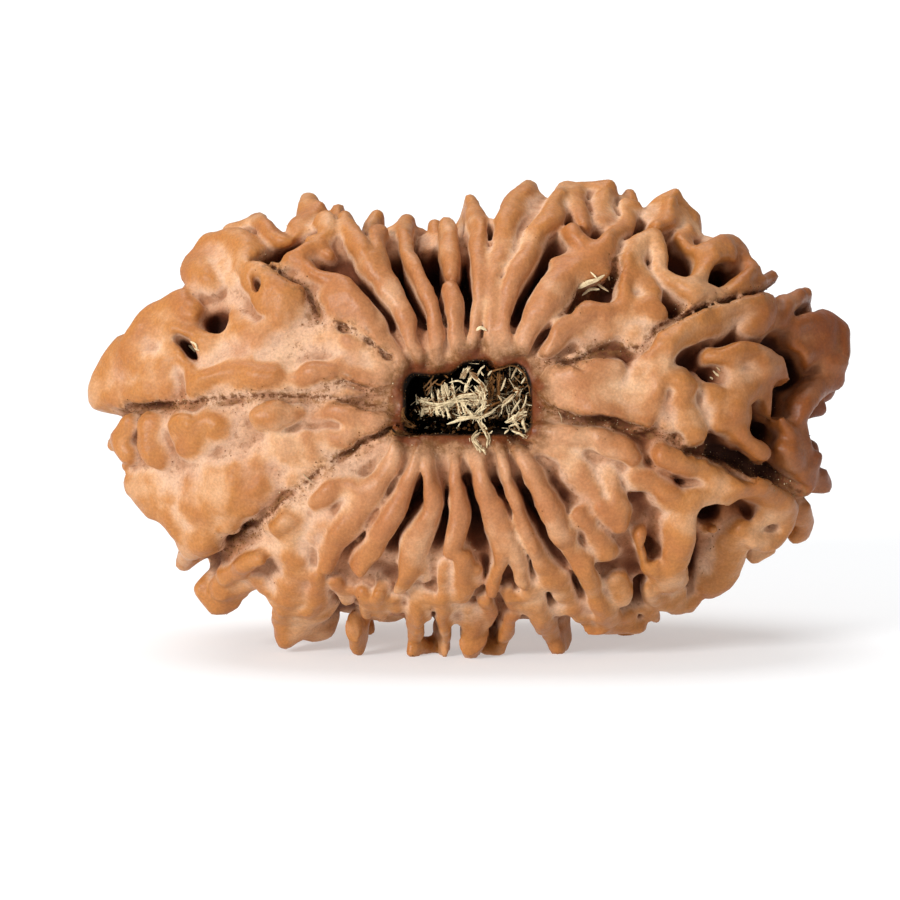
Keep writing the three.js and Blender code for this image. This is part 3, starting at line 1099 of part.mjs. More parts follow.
// The leaning seed with its lowest tips trimmed flat by the floor.
function makeSeed() {
  const frontFirst = (point) => (point.y < 0 ? FRONT_CARE : 1);
  const rough = geometryOf(simplify(surfaceOf(seedField()), 1.06 * SEED_TRIANGLES, frontFirst));
  rough.rotateX(LEAN);
  rough.translate(0, 0, -FOOT_LEVEL);
  const floor = new THREE.BoxGeometry(60, 60, 10);
  floor.translate(0, 0, -5);
  const trimmed = surfaceOfSolid(solidOf(rough).subtract(solidOf(floor)));
  const feetFirst = (point) => (point.z < FOOT_ZONE ? FOOT_CARE : frontFirst(point));
  const surface = simplify(trimmed, SEED_TRIANGLES, feetFirst);
  const onFloor = (value, i) => (i % 3 === 2 && value < 0.005 ? 0 : value);
  surface.positions = surface.positions.map(onFloor);
  return geometryOf(surface);
}

function makeCore() {
  return geometryOf(simplify(surfaceOf(coreField()), CORE_TRIANGLES, () => 1));
}

const seedGeometry = makeSeed();
seedGeometry.computeVertexNormals();
seedGeometry.computeBoundingBox();
const middle = seedGeometry.boundingBox.getCenter(new THREE.Vector3());

const coreGeometry = makeCore();
coreGeometry.computeVertexNormals();

const seed = new THREE.Mesh(
  seedGeometry,
  new THREE.MeshStandardMaterial({ color: 0xb97a4c, roughness: 0.55, metalness: 0 }),
);
seed.name = "seed";

const core = new THREE.Mesh(
  coreGeometry,
  new THREE.MeshStandardMaterial({ color: 0xe0cb9c, roughness: 0.9, metalness: 0 }),
);
core.name = "core_fibres";
core.position.set(HOLE_X, CORE_Y, HOLE_Z);

const clump = new THREE.Group();
clump.rotation.x = LEAN;
clump.add(core);

const rudraksha = new THREE.Group();
rudraksha.name = "rudraksha_seed";
rudraksha.add(seed, clump);
seed.position.set(-middle.x, -middle.y, 0);
clump.position.set(-middle.x, -middle.y, -FOOT_LEVEL);

export default rudraksha;
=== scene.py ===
"""The looks of a rudraksha seed: its skin with ridges, seams and pits, the dry fibres and the straw.

Lengths in the tables are millimetres on the face: x to the right, z up, y away from the eye.
"""

import math

import bmesh
import bpy
import numpy as np
from mathutils import Matrix, Vector


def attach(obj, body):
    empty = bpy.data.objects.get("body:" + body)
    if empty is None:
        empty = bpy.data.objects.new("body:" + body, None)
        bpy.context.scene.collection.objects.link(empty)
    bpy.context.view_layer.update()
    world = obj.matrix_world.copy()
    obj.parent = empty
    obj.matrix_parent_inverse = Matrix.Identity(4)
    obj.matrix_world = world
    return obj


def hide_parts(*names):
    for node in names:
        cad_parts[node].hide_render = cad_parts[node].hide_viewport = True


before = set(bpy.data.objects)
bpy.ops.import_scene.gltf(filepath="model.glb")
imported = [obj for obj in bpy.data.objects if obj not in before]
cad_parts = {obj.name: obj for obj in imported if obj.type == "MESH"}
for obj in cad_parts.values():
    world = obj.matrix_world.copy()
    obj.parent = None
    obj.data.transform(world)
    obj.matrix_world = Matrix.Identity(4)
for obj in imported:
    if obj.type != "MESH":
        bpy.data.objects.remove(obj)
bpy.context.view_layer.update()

# Metres in one unit of the tables.
MM = 0.001

# Crest surface, a rounded body that the tops of all ridges touch.
HALF_LENGTH = 19
HALF_THICKNESS = 11
HALF_TOP = 11.5
HALF_BOTTOM = 11.7
ROUNDNESS = 2.2

# The outline dips between the fins at the top.
SADDLE_DROP = 1.7
SADDLE_X = -2.6
SADDLE_WIDTH = 2.8

# Share of the outline where the front and the back ridges turn over the rim.
FRONT_RIM = 0.97
BACK_RIM = 0.95

# The hole: mouth on both faces, neck halfway, and the dip of the face round it.
HOLE_X = -0.15
HOLE_Z = 0.5
HOLE_MOUTH_X = 3.15
HOLE_MOUTH_Z = 1.75
HOLE_NECK_X = 1.5
HOLE_NECK_Z = 1.0
HOLE_FLARE = 6.5
HOLE_CORNER = 0.55
DIMPLE_X = 5
DIMPLE_Z = 3.6
DIMPLE_DEPTH = 1.6
DIMPLE_REACH = 6

# The seed leans back on its rim, and the floor trims the tips of the spines that carry it.
LEAN = math.radians(-8)
FOOT_LEVEL = -11.75
FOOT_SPARE = 0.4

# Spines under the back half of the rim: [x, y], and [height over the tip, half width] along each.
BACK_FEET = [[-9.0, 4.0], [-5.5, 4.3], [0.2, 4.4], [4.4, 4.2], [7.9, 4.0]]
BACK_FOOT_WIDTHS = [[0, 0.45], [1.2, 0.55], [3.4, 0.75]]
BACK_FOOT_TAPER = 0.01

# Each ridge is a smooth line of points [x, z, half width, sink below the crest surface].

# Crests of the tall fins above the hole, from its rim out to their tips.
TOP_FINS = [
    [[-6.15, 9.5, 0.42], [-5.95, 8.8, 0.45], [-5.6, 8.1, 0.42], [-5, 7.25, 0.5], [-4.3, 6.35, 0.55],
     [-3.7, 5.45, 0.5], [-3.2, 4.55, 0.43], [-2.85, 3.7, 0.35, 0.05], [-2.6, 2.9, 0.3, 0.2],
     [-2.45, 2.3, 0.25, 0.5]],
    [[-4.65, 8.7, 0.4, 0.1], [-4.65, 8, 0.42, 0.05], [-4.55, 7.3, 0.4, 0.1]],
    [[-4.75, 9.4, 0.33, 1.6], [-4.9, 8.8, 0.35, 1.6]],
    [[-6.65, 9.8, 0.35, 0.9], [-6.6, 8.9, 0.35, 1.2], [-6.25, 7.4, 0.35, 1.2]],
    [[-3.15, 9.3, 0.42], [-3.4, 8.7, 0.38], [-3.15, 8, 0.36], [-2.8, 7.15, 0.36], [-2.4, 6.25, 0.36],
     [-2.05, 5.45, 0.34], [-1.8, 4.6, 0.3], [-1.65, 3.75, 0.28, 0.05], [-1.6, 2.9, 0.26, 0.2],
     [-1.55, 2.3, 0.25, 0.5]],
    [[-3.9, 8.8, 0.33, 1.2], [-3.95, 8.1, 0.33, 1.4], [-3.85, 7.6, 0.3, 1.6]],
    [[-2.3, 8.4, 0.3, 1.5], [-2.25, 7.8, 0.3, 1.7]],
    [[-1.05, 9.1, 0.38], [-1, 8.55, 0.45], [-1.05, 8, 0.42], [-0.95, 7.3, 0.36, 0.1],
     [-0.9, 6.7, 0.33, 0.3]],
    [[-1, 6, 0.42, 0.05], [-0.85, 5.3, 0.42], [-0.8, 4.45, 0.36], [-0.7, 3.65, 0.33, 0.05],
     [-0.6, 2.85, 0.3, 0.2], [-0.55, 2.3, 0.28, 0.5]],
    [[-1.7, 8.9, 0.35, 1.3], [-1.65, 8.2, 0.35, 1.4]],
    [[-0.4, 8.2, 0.3, 1.6], [-0.3, 7.3, 0.3, 1.8]],
    [[0.1, 10.35, 0.36], [0.2, 9.5, 0.42], [0.35, 8.5, 0.45], [0.45, 7.5, 0.42], [0.5, 6.5, 0.38],
     [0.45, 5.6, 0.32], [0.3, 4.75, 0.26], [0.15, 3.95, 0.24], [0, 3.1, 0.24, 0.2],
     [-0.05, 2.3, 0.24, 0.5]],
    [[0.95, 9, 0.35, 0.9], [1.25, 8.7, 0.35, 0.9], [1.6, 9.05, 0.35, 0.8]],
    [[2.9, 10.95, 0.42], [2.6, 10.3, 0.62], [2.1, 9.4, 0.62], [1.75, 8.5, 0.56], [1.45, 7.5, 0.5],
     [1.2, 6.5, 0.4], [1.1, 5.5, 0.32], [1.05, 4.6, 0.3], [1.05, 3.75, 0.33, 0.05],
     [1.15, 2.9, 0.38, 0.2], [1.2, 2.4, 0.38, 0.5]],
    [[3.35, 10.25, 0.4, 0.9], [3, 9.1, 0.5, 0.9], [2.5, 8.2, 0.4, 0.9]],
    [[4.8, 10.85, 0.4, 0.1], [4.3, 10.2, 0.5], [3.8, 9.3, 0.58], [3.3, 8.45, 0.58], [2.8, 7.6, 0.55],
     [2.35, 6.8, 0.5], [2, 6, 0.42], [1.8, 5.2, 0.35], [1.65, 4.4, 0.3], [1.65, 3.6, 0.32, 0.1],
     [1.8, 2.8, 0.35, 0.35]],
    [[5.1, 6.7, 0.65, 0.1], [4.4, 6.1, 0.78], [3.8, 5.35, 0.8], [3.3, 4.6, 0.68], [2.9, 3.85, 0.52, 0.05],
     [2.55, 3.1, 0.42, 0.25]],
]

# Fins below the hole, and the spines and small bosses under them.
BOTTOM_FINS = [
    [[-3.6, -1.85, 0.25, 0.35], [-3.9, -2.65, 0.4, 0.05], [-4.5, -3.6, 0.6], [-5.4, -4.65, 0.8],
     [-6.25, -5.85, 0.75], [-6.85, -6.95, 0.55], [-7.15, -7.65, 0.4]],
    [[-5.7, -3.7, 0.6, 0.2], [-6.7, -3.95, 0.65, 0.15], [-7.55, -4.55, 0.5, 0.3]],
    [[-7.15, -5.25, 0.7, 0.4], [-7.6, -6.25, 0.5, 0.4]],
    [[-2.5, -1.85, 0.2, 0.4], [-2.75, -2.8, 0.27, 0.05], [-3.2, -3.85, 0.42], [-3.75, -5, 0.58],
     [-4.35, -6.05, 0.62], [-5, -7.05, 0.5], [-5.55, -7.85, 0.36]],
    [[-5.1, -9, 0.45, 0.5], [-5.15, -9.6, 0.38, 0.3], [-5.15, -10.1, 0.3, 0.2]],
    [[-5.3, -10.6, 0.3, 0.9], [-5.5, -11.4, 0.3, 0.7], [-5.65, -11.9, 0.25, 0.5]],
    [[-4.2, -8.4, 0.35, 1], [-4, -9.8, 0.3, 1.2]],
    [[-2.2, -1.85, 0.2, 0.4], [-2.05, -3, 0.25, 0.05], [-1.85, -4, 0.38], [-1.9, -5, 0.48],
     [-2.45, -6.05, 0.66], [-2.85, -7.05, 0.55], [-3.1, -8.05, 0.42], [-3.4, -8.85, 0.25]],
    [[-2.6, -8.6, 0.5, 0.6], [-2.7, -9.8, 0.45, 0.3], [-2.85, -11, 0.33, 0.2], [-2.9, -12, 0.25, 0.2]],
    [[-0.75, -1.85, 0.25, 0.4], [-0.7, -3.3, 0.3, 0.05], [-0.6, -4.4, 0.42], [-0.55, -5.35, 0.55],
     [-0.7, -6.3, 0.42], [-0.95, -7.1, 0.32, 0.1]],
    [[-0.35, -7.4, 0.45, 0.1], [-0.3, -8.25, 0.6], [-0.5, -9.15, 0.45]],
    [[-1.3, -7.7, 0.38, 0.1], [-1.3, -9.2, 0.36], [-1.2, -10.2, 0.33], [-1.35, -11.3, 0.28],
     [-1.4, -12.2, 0.22]],
    [[-0.05, -9.75, 0.42, 0.3], [0.05, -10.75, 0.42, 0.1], [0.1, -11.8, 0.38], [0.1, -12.15, 0.34]],
    [[0.2, -1.85, 0.28, 0.4], [0.4, -2.9, 0.3, 0.05], [0.7, -4, 0.42], [1.05, -5.15, 0.48],
     [1.3, -6.25, 0.4], [1.4, -7.35, 0.35], [1.3, -8.4, 0.34], [1.15, -9.1, 0.22]],
    [[1.35, -4.9, 0.35, 0.05], [1.85, -6.1, 0.38], [2.2, -7.15, 0.4], [2.55, -8.25, 0.32],
     [2.7, -8.65, 0.22]],
    [[1.3, -1.85, 0.3, 0.4], [1.75, -3.3, 0.26, 0.05], [2.15, -4.4, 0.28], [2.55, -5.5, 0.32],
     [3.05, -6.6, 0.42], [3.65, -7.6, 0.48], [4.35, -8.65, 0.5], [4.95, -9.65, 0.45],
     [5.4, -10.3, 0.35, 0.1]],
    [[3, -8.6, 0.42, 0.4], [3.4, -9.75, 0.48, 0.2], [3.8, -10.9, 0.45, 0.6], [4.35, -12, 0.34, 1.2]],
    [[1.85, -10.2, 0.36, 0.5], [1.7, -11.3, 0.3, 0.3], [1.55, -12, 0.22, 0.2]],
    [[2.35, -1.85, 0.35, 0.4], [2.9, -2.8, 0.45, 0.05], [3.45, -3.85, 0.52], [4, -4.95, 0.55],
     [4.65, -6.2, 0.52], [5.35, -7.35, 0.5], [5.95, -8.4, 0.42, 0.1]],
    [[6.3, -9, 0.5, 0.3], [6.55, -9.8, 0.55, 0.2], [6.6, -10.3, 0.45, 0.2]],
]

# Small knobs and webs of the low band, in the slots between the fins.
LOW_KNOBS = [
    [[-6.7, -8.4, 0.35, 0.3], [-6.4, -9, 0.42, 0.45], [-6.25, -9.5, 0.3, 0.6]],
    [[-5.9, -8.9, 0.3, 0.5], [-6, -9.5, 0.28, 0.7]],
    [[-4.35, -9, 0.35, 0.3], [-4.45, -9.7, 0.4, 0.5], [-4.2, -10.3, 0.3, 0.8]],
    [[-3.7, -9.3, 0.35, 0.4], [-3.65, -9.95, 0.35, 0.6]],
    [[-2.1, -9.1, 0.35, 0.3], [-2, -9.7, 0.33, 0.5], [-2.1, -10.2, 0.25, 0.7]],
    [[-0.75, -9.7, 0.3, 0.3], [-0.65, -10.3, 0.3, 0.6]],
    [[0.7, -9.4, 0.4, 0.3], [0.8, -10.1, 0.35, 0.5], [0.65, -10.6, 0.28, 0.8]],
    [[1.9, -9, 0.4, 0.3], [2.05, -9.6, 0.38, 0.4], [2.3, -10.2, 0.28, 0.7]],
    [[2.55, -9.3, 0.35, 0.3], [2.85, -9.9, 0.35, 0.5]],
    [[4.3, -9.5, 0.35, 0.3], [4.5, -10, 0.3, 0.6]],
    [[5.5, -9.3, 0.3, 0.3], [5.75, -9.8, 0.3, 0.5]],
    [[-2.5, -7.5, 0.3, 0.5], [-2.3, -8.1, 0.3, 0.5]],
    [[0.25, -7.8, 0.28, 0.3], [0.4, -8.4, 0.3, 0.3]],
    [[3.35, -7.8, 0.28, 0.5], [3.5, -8.3, 0.28, 0.5]],
]

# Fleshy lobes at the upper left.
TOP_LEFT = [
    [[-18.05, 0.75, 0.75], [-17.9, 1.6, 0.85], [-17.55, 2.45, 0.85], [-17.05, 3, 0.75]],
    [[-17.9, 0.65, 0.7], [-16.75, 0.8, 0.75, 0.05], [-15.7, 0.9, 0.65, 0.15], [-14.9, 0.85, 0.45, 0.3]],
    [[-17.15, 1.85, 1.4, 0.05], [-16.2, 2.05, 1.5, 0.1], [-15.1, 1.9, 1.4, 0.25]],
    [[-16.35, 2.9, 0.55, 0.15], [-16.05, 3.85, 0.75], [-15.5, 4.6, 0.8], [-14.75, 4.95, 0.8],
     [-13.95, 5, 0.75], [-13.45, 4.65, 0.5, 0.2]],
    [[-14.7, 3.75, 1.2, 0.25], [-14.2, 3.15, 1.2, 0.35], [-13.5, 2.5, 1, 0.5]],
    [[-13.9, 7.4, 0.55], [-13.7, 6.7, 0.6, 0.15], [-13.4, 5.95, 0.5, 0.5]],
    [[-13.3, 7.75, 0.55, 0.05], [-12.7, 8.1, 0.6], [-12, 8.3, 0.55]],
    [[-12.85, 8, 0.5, 0.1], [-12.3, 7.55, 0.42, 0.1], [-11.95, 6.9, 0.35, 0.15],
     [-11.8, 6.2, 0.28, 0.35]],
    [[-11.7, 8.35, 0.6], [-11.15, 7.75, 0.8], [-10.6, 6.85, 1.05], [-9.9, 5.9, 1.2], [-9.1, 5.25, 1.15],
     [-9, 4.7, 0.95, 0.15], [-9.7, 4.1, 0.7, 0.45]],
    [[-10.9, 3.7, 0.9, 0.75], [-10.4, 3.2, 0.8, 0.85]],
    [[-11.75, 9.05, 0.42, 0.3], [-11.2, 9.2, 0.5, 0.15], [-10.65, 9.35, 0.55, 0.1],
     [-10.1, 8.8, 0.55, 0.1], [-9.5, 8.35, 0.5, 0.2], [-8.95, 8.15, 0.4, 0.5]],
    [[-8.3, 8.5, 0.7, 0.9], [-8, 9.8, 0.62, 0.7], [-7.9, 10.3, 0.5, 0.6]],
    [[-7.2, 9.3, 0.45], [-7, 8.8, 0.5], [-7.4, 8.3, 0.42], [-8.1, 8.2, 0.32, 0.15]],
    [[-8.85, 7.55, 0.4, 0.1], [-8.1, 7.65, 0.42, 0.05], [-7.3, 7.8, 0.42], [-6.85, 7.6, 0.35, 0.1]],
    [[-8.65, 7.3, 0.4, 0.15], [-7.6, 6.65, 0.55, 0.05], [-6.4, 6.05, 0.65], [-5.65, 5.1, 0.75],
     [-4.95, 4.1, 0.8], [-4.3, 3.2, 0.75], [-3.85, 2.35, 0.68], [-3.65, 1.55, 0.55, 0.15]],
    [[-6.8, 5.2, 0.9, 0.5], [-6, 3.9, 1, 0.4], [-5.25, 2.8, 1, 0.3], [-4.45, 1.75, 0.7, 0.2]],
    [[-6.25, 2, 0.5, 0.35], [-5.4, 1.55, 0.5, 0.2], [-4.5, 1.25, 0.42, 0.2]],
    [[-13.35, 1.3, 0.65], [-12.5, 1.5, 0.75], [-11.45, 1.7, 0.8], [-10.4, 1.75, 0.75], [-9.7, 1.55, 0.6]],
    [[-8.4, 1.6, 0.5, 0.05], [-7.65, 1.9, 0.62], [-6.9, 1.75, 0.55, 0.15]],
    [[-5.6, 0.45, 0.45, 0.35], [-4.6, 0.45, 0.5, 0.3], [-3.85, 0.4, 0.45, 0.35]],
    [[-14.25, 0.3, 0.8, 0.8], [-11, 0.55, 0.8, 0.75], [-7.5, 0.55, 0.8, 0.7], [-3.9, 0.3, 0.7, 0.6]],
    [[-13.1, 7.2, 0.6, 0.25], [-12.8, 6.3, 0.6, 0.35]],
    [[-14.9, 2, 0.6, 0.35], [-14.7, 1.2, 0.6, 0.35]],
]

# Lobes, knobs and plates at the lower left.
BOTTOM_LEFT = [
    [[-16.85, -0.7, 0.55, 0.1], [-17.1, -1.55, 0.65], [-16.85, -2.3, 0.5, 0.1],
     [-17.15, -2.85, 0.28, 0.2]],
    [[-17.3, -1.5, 0.4, 0.2], [-17.75, -1.75, 0.22, 0.3]],
    [[-15.5, -0.85, 0.9, -0.1], [-15.45, -1.6, 0.9, -0.1], [-15.25, -2.2, 0.65, 0.1]],
    [[-14, -1, 1.05, -0.3], [-13.35, -1.3, 1.25, -0.35], [-12.45, -0.9, 1, -0.25]],
    [[-10.2, -0.5, 0.8, -0.15], [-9.45, -0.35, 0.78, -0.15], [-8.7, -0.1, 0.5]],
    [[-7.6, -0.4, 0.5, 0.15], [-6.5, -0.15, 0.6], [-5.3, -0.2, 0.55], [-4.2, -0.5, 0.5],
     [-3.65, -0.9, 0.35, 0.15]],
    [[-6.75, -1.1, 0.6, 0.4], [-5.75, -1.2, 0.6, 0.35], [-4.8, -1.1, 0.5, 0.35]],
    [[-16.65, -3.85, 0.6], [-16.05, -4.55, 0.6, 0.05], [-15.15, -5.05, 0.6, 0.1],
     [-14.35, -5.75, 0.6, 0.1], [-13.95, -6.75, 0.55, 0.15], [-14.15, -7.65, 0.42, 0.1]],
    [[-15.5, -3.9, 1.3, 0.25], [-13.6, -3.85, 1.35, 0.45], [-11.75, -3.2, 1.3, 0.5],
     [-10.4, -2.7, 1.2, 0.5]],
    [[-14, -5.1, 1.3, 0.2], [-12.8, -4.6, 1.4, 0.2], [-11.2, -3.8, 1.2, 0.3]],
    [[-9.3, -1.9, 1.2, 0.5], [-7.5, -1.5, 1, 0.5], [-6, -1.2, 0.9, 0.5]],
    [[-13.7, -6.75, 0.6, 0.2], [-13.2, -6.3, 0.75, 0.1], [-12.75, -5.8, 0.6, 0.15]],
    [[-11.4, -3.9, 0.7, 0.25], [-11.5, -4.9, 0.7, 0.05], [-11.8, -5.8, 0.5]],
    [[-10.2, -3.85, 0.7, 0.35], [-10.75, -4.8, 0.55, 0.15]],
    [[-9.55, -5.75, 0.42], [-9, -5.5, 0.5, 0.05]],
    [[-10.4, -7.3, 0.42, 0.1], [-11.25, -7.7, 0.52], [-12, -8.2, 0.48]],
    [[-13.15, -9.15, 0.5, 0.2], [-12.5, -9.5, 0.6, 0.25], [-11.9, -9.45, 0.5, 0.3]],
    [[-11.5, -8.9, 0.5, 0.7], [-10.6, -8.3, 0.6, 0.7], [-9.9, -9, 0.6, 0.6]],
    [[-8.4, -7.3, 0.8, 0.5], [-8.65, -8.6, 1, 0.3], [-9.05, -9.8, 0.9, 0.3], [-9.15, -10.9, 0.65, 0.5],
     [-9.15, -11.6, 0.45, 0.9]],
    [[-7.6, -8.1, 0.45, 0.15], [-7.55, -9.1, 0.55, 0.05], [-8, -10.2, 0.5, 0.3], [-8.6, -11.2, 0.4, 0.9]],
    [[-7.6, -10.1, 0.5, 0.9], [-7, -9.6, 0.45, 1.2]],
    [[-8.5, -5.1, 1, 0.6], [-8.65, -6.75, 1.1, 0.6]],
]

# Ridges and plates at the upper right.
TOP_RIGHT = [
    [[5, 6.8, 0.7, 0.1], [5.9, 6.7, 0.7, 0.1], [6.7, 6.4, 0.55, 0.3]],
    [[4.3, 7.1, 0.5, 0.3], [5.25, 7.4, 0.5, 0.4]],
    [[6, 7.4, 0.6], [5.4, 8.1, 0.5], [4.85, 8.8, 0.4]],
    [[6, 7.4, 0.6], [6.8, 8.1, 0.5], [7.5, 8.9, 0.45], [8, 9.7, 0.4], [8.3, 10.1, 0.35]],
    [[5.6, 9.1, 0.45], [5.2, 9.9, 0.5], [5.2, 10.6, 0.5], [6, 11, 0.5], [6.8, 11.2, 0.45]],
    [[6.4, 10.2, 0.9, 0.8], [6.5, 8.9, 0.7, 0.8]],
    [[7.7, 10.1, 0.45, 1], [8, 10.5, 0.4, 1]],
    [[9, 9.5, 0.45, 0.6], [9.5, 10.2, 0.42, 0.4], [10.1, 10.6, 0.4, 0.4]],
    [[7.4, 5.4, 0.5], [7.5, 6.9, 0.6], [8.1, 7.75, 0.6], [8.9, 8.3, 0.55], [9.3, 7.75, 0.5],
     [9.5, 6.75, 0.5], [10.5, 6, 0.5], [11.5, 5.6, 0.5]],
    [[8, 6.5, 0.9, 0.3], [8.5, 5.5, 0.9, 0.5]],
    [[9.25, 9, 0.45, 0.3], [10.1, 9.4, 0.5, 0.3], [10.35, 9.6, 0.42, 0.3], [10.55, 8.6, 0.5, 0.6],
     [10.85, 7.6, 0.45, 0.8]],
    [[11, 8.5, 0.4, 1], [11.1, 9.4, 0.35, 1]],
    [[11.7, 7.8, 0.4, 1.2], [11.8, 8.4, 0.4, 1.2]],
    [[11.1, 6.2, 0.5], [11.55, 6.75, 0.6], [12.05, 7.2, 0.6], [12.6, 7.55, 0.5, 0.2]],
    [[11.5, 7.5, 0.5, 0.2], [12.2, 7.85, 0.65], [12.9, 8, 0.7], [13.4, 7.85, 0.6]],
    [[13.45, 7.6, 0.42], [13.8, 6.9, 0.45], [13.35, 6.3, 0.5], [12.6, 5.9, 0.5], [11.75, 5.6, 0.5],
     [11, 5.5, 0.5]],
    [[14.2, 6.15, 0.38, 0.3], [14.6, 6.45, 0.33, 0.3], [14.9, 6.65, 0.27, 0.3]],
    [[8.8, 2.9, 0.7], [9.9, 3.5, 0.8], [11.1, 4.15, 0.9], [12.3, 4.7, 0.95], [13.4, 5.1, 0.95],
     [14.15, 4.9, 0.85], [14.25, 4.4, 0.8], [13.6, 4.15, 0.7, 0.1]],
    [[9.4, 2.9, 0.8, 0.1], [9.2, 1.9, 0.75, 0.05], [9, 0.9, 0.7, 0.1], [8.75, 0.1, 0.55, 0.15]],
    [[3.75, 2.75, 0.4], [4.6, 3.75, 0.55], [5.5, 4.6, 0.65], [6.25, 5, 0.6], [7.25, 4.75, 0.6],
     [8.5, 4.9, 0.55], [9.4, 4.8, 0.4]],
    [[5.2, 3.5, 0.6, 0.4], [6.4, 4, 0.7, 0.4], [7.4, 4.2, 0.6, 0.5]],
    [[15.3, 4.4, 0.45, 0.4], [15.6, 5.2, 0.45, 0.4], [16.15, 5.6, 0.38, 0.3], [16.65, 5.9, 0.33, 0.3]],
    [[16, 4, 0.7, 0.5], [17.4, 3.9, 0.85, 0.3], [18.2, 3.6, 0.85, 0.3], [18.1, 2.8, 0.85, 0.3],
     [17.8, 2.3, 0.7, 0.3]],
    [[18.25, 1.9, 0.42, 0.3], [18.25, 1.45, 0.42, 0.3]],
    [[17.6, 1.3, 0.5, 0.8], [16.8, 0.6, 0.5, 0.9], [16.3, -0.4, 0.45, 0.9], [16.4, -1.2, 0.45, 0.8]],
]

# Knobs, plates and ear-shaped loops at the right end.
RIGHT = [
    [[3.9, 1.05, 0.65], [4.75, 1.5, 0.95], [5.9, 1.75, 1.15], [6.75, 1.75, 0.95]],
    [[3.75, 0.6, 0.5, 0.1], [5.25, 0.5, 0.9, 0.15], [6.75, 0.4, 0.95, 0.15], [8.2, 0.25, 0.9, 0.15],
     [9, 0.7, 0.6, 0.25]],
    [[4.5, 0.15, 0.4, 0.15], [6, -0.1, 0.45, 0.1], [7.5, -0.45, 0.45, 0.1], [8.5, -0.7, 0.4, 0.1]],
    [[9.85, 1.6, 0.7, 0.1], [10.45, 1.3, 0.75]],
    [[10.25, 0.35, 0.75, 0.1], [10.7, -0.45, 0.9], [11, -1.05, 0.65]],
    [[11.75, 2.5, 0.5, 0.1], [13, 2.65, 0.6], [14, 2.5, 0.65], [14.5, 2, 0.6]],
    [[14.5, 2, 0.6], [13.6, 1.2, 0.8], [13, 0.4, 0.8], [13.2, -0.75, 0.8], [13.75, -1.6, 0.65],
     [14.3, -2.3, 0.5]],
    [[11.4, 1.5, 0.5, 0.3], [11.9, 0.5, 0.7, 0.3], [12.4, -0.5, 0.7, 0.3]],
    [[14.5, 2.3, 0.6, 0.2], [15.2, 2.1, 0.55, 0.3], [15.8, 1.8, 0.42, 0.35]],
    [[14.5, 1.3, 0.5, 0.3], [14.6, 0.5, 0.45, 0.3], [15.2, -0.3, 0.42, 0.4], [15.8, -1, 0.42, 0.4],
     [16.4, -1.6, 0.45, 0.4], [16.8, -2.4, 0.5, 0.3]],
    [[15.6, -2.1, 0.8, 0.4], [16.3, -2.8, 0.9, 0.3], [16.4, -3.4, 0.8, 0.3]],
    [[17.2, -3.5, 0.5, 0.3], [17.5, -3.6, 0.42, 0.3]],
    [[9.5, -2.3, 0.6], [10.5, -2.5, 0.7], [11.5, -2.9, 0.75], [12.1, -3.4, 0.7]],
    [[12.9, -3.6, 0.7], [13.9, -3.8, 0.75], [14.8, -4.3, 0.7], [15.5, -5, 0.6], [15.6, -5.8, 0.5],
     [15, -6.4, 0.5], [14, -6.6, 0.5]],
    [[14.6, -5.2, 0.7, 0.6], [13.3, -5.9, 0.6, 0.5]],
    [[16.3, -4.9, 0.6, 1], [16.6, -5.6, 0.6, 1], [16.2, -6, 0.5, 1]],
    [[9.6, -4.3, 0.6], [11, -4.4, 0.6], [12.4, -4.2, 0.6]],
    [[10.2, -4.8, 0.8], [10.3, -6.3, 0.85], [10.2, -7.6, 0.85], [10.2, -8.3, 0.75]],
    [[8.6, -6.4, 0.5, -0.1], [8.75, -7.3, 0.58, -0.1], [9.2, -8.1, 0.55], [9.9, -8.6, 0.48]],
    [[11.9, -8.4, 1, 1.1], [12.5, -7.8, 1, 1.3], [12.7, -6.3, 0.8, 1.3]],
    [[11.95, -5.8, 0.3, 0.9], [11.95, -6, 0.3, 0.9]],
    [[14.2, -7.2, 0.45, 1.5], [14.8, -7, 0.45, 1.5]],
    [[8.4, -8.6, 0.4, 0.6], [9.4, -9.3, 0.5, 0.6], [10.6, -9.6, 0.55, 0.6], [11, -9.4, 0.5, 0.6]],
    [[7.7, -10, 0.6, 0.5], [7.7, -10.8, 0.5, 0.3], [8.2, -10.8, 0.5, 0.3]],
    [[8.6, -9.7, 0.4, 1.2], [9.2, -10.1, 0.4, 1.2]],
    [[12.75, 2, 0.7, 0.25], [12.9, 1.2, 0.75, 0.2]],
    [[8.4, 2.1, 0.55, 0.4], [8.25, 1.2, 0.55, 0.4]],
    [[9.3, 0, 0.5, 0.5], [9.55, -0.8, 0.5, 0.45]],
    [[7.9, 3.5, 0.5, 0.5], [8.9, 4.3, 0.5, 0.5]],
    [[4.9, -2.9, 0.45, 0.6], [5.4, -3.8, 0.5, 0.6], [5.9, -4.7, 0.45, 0.7]],
]

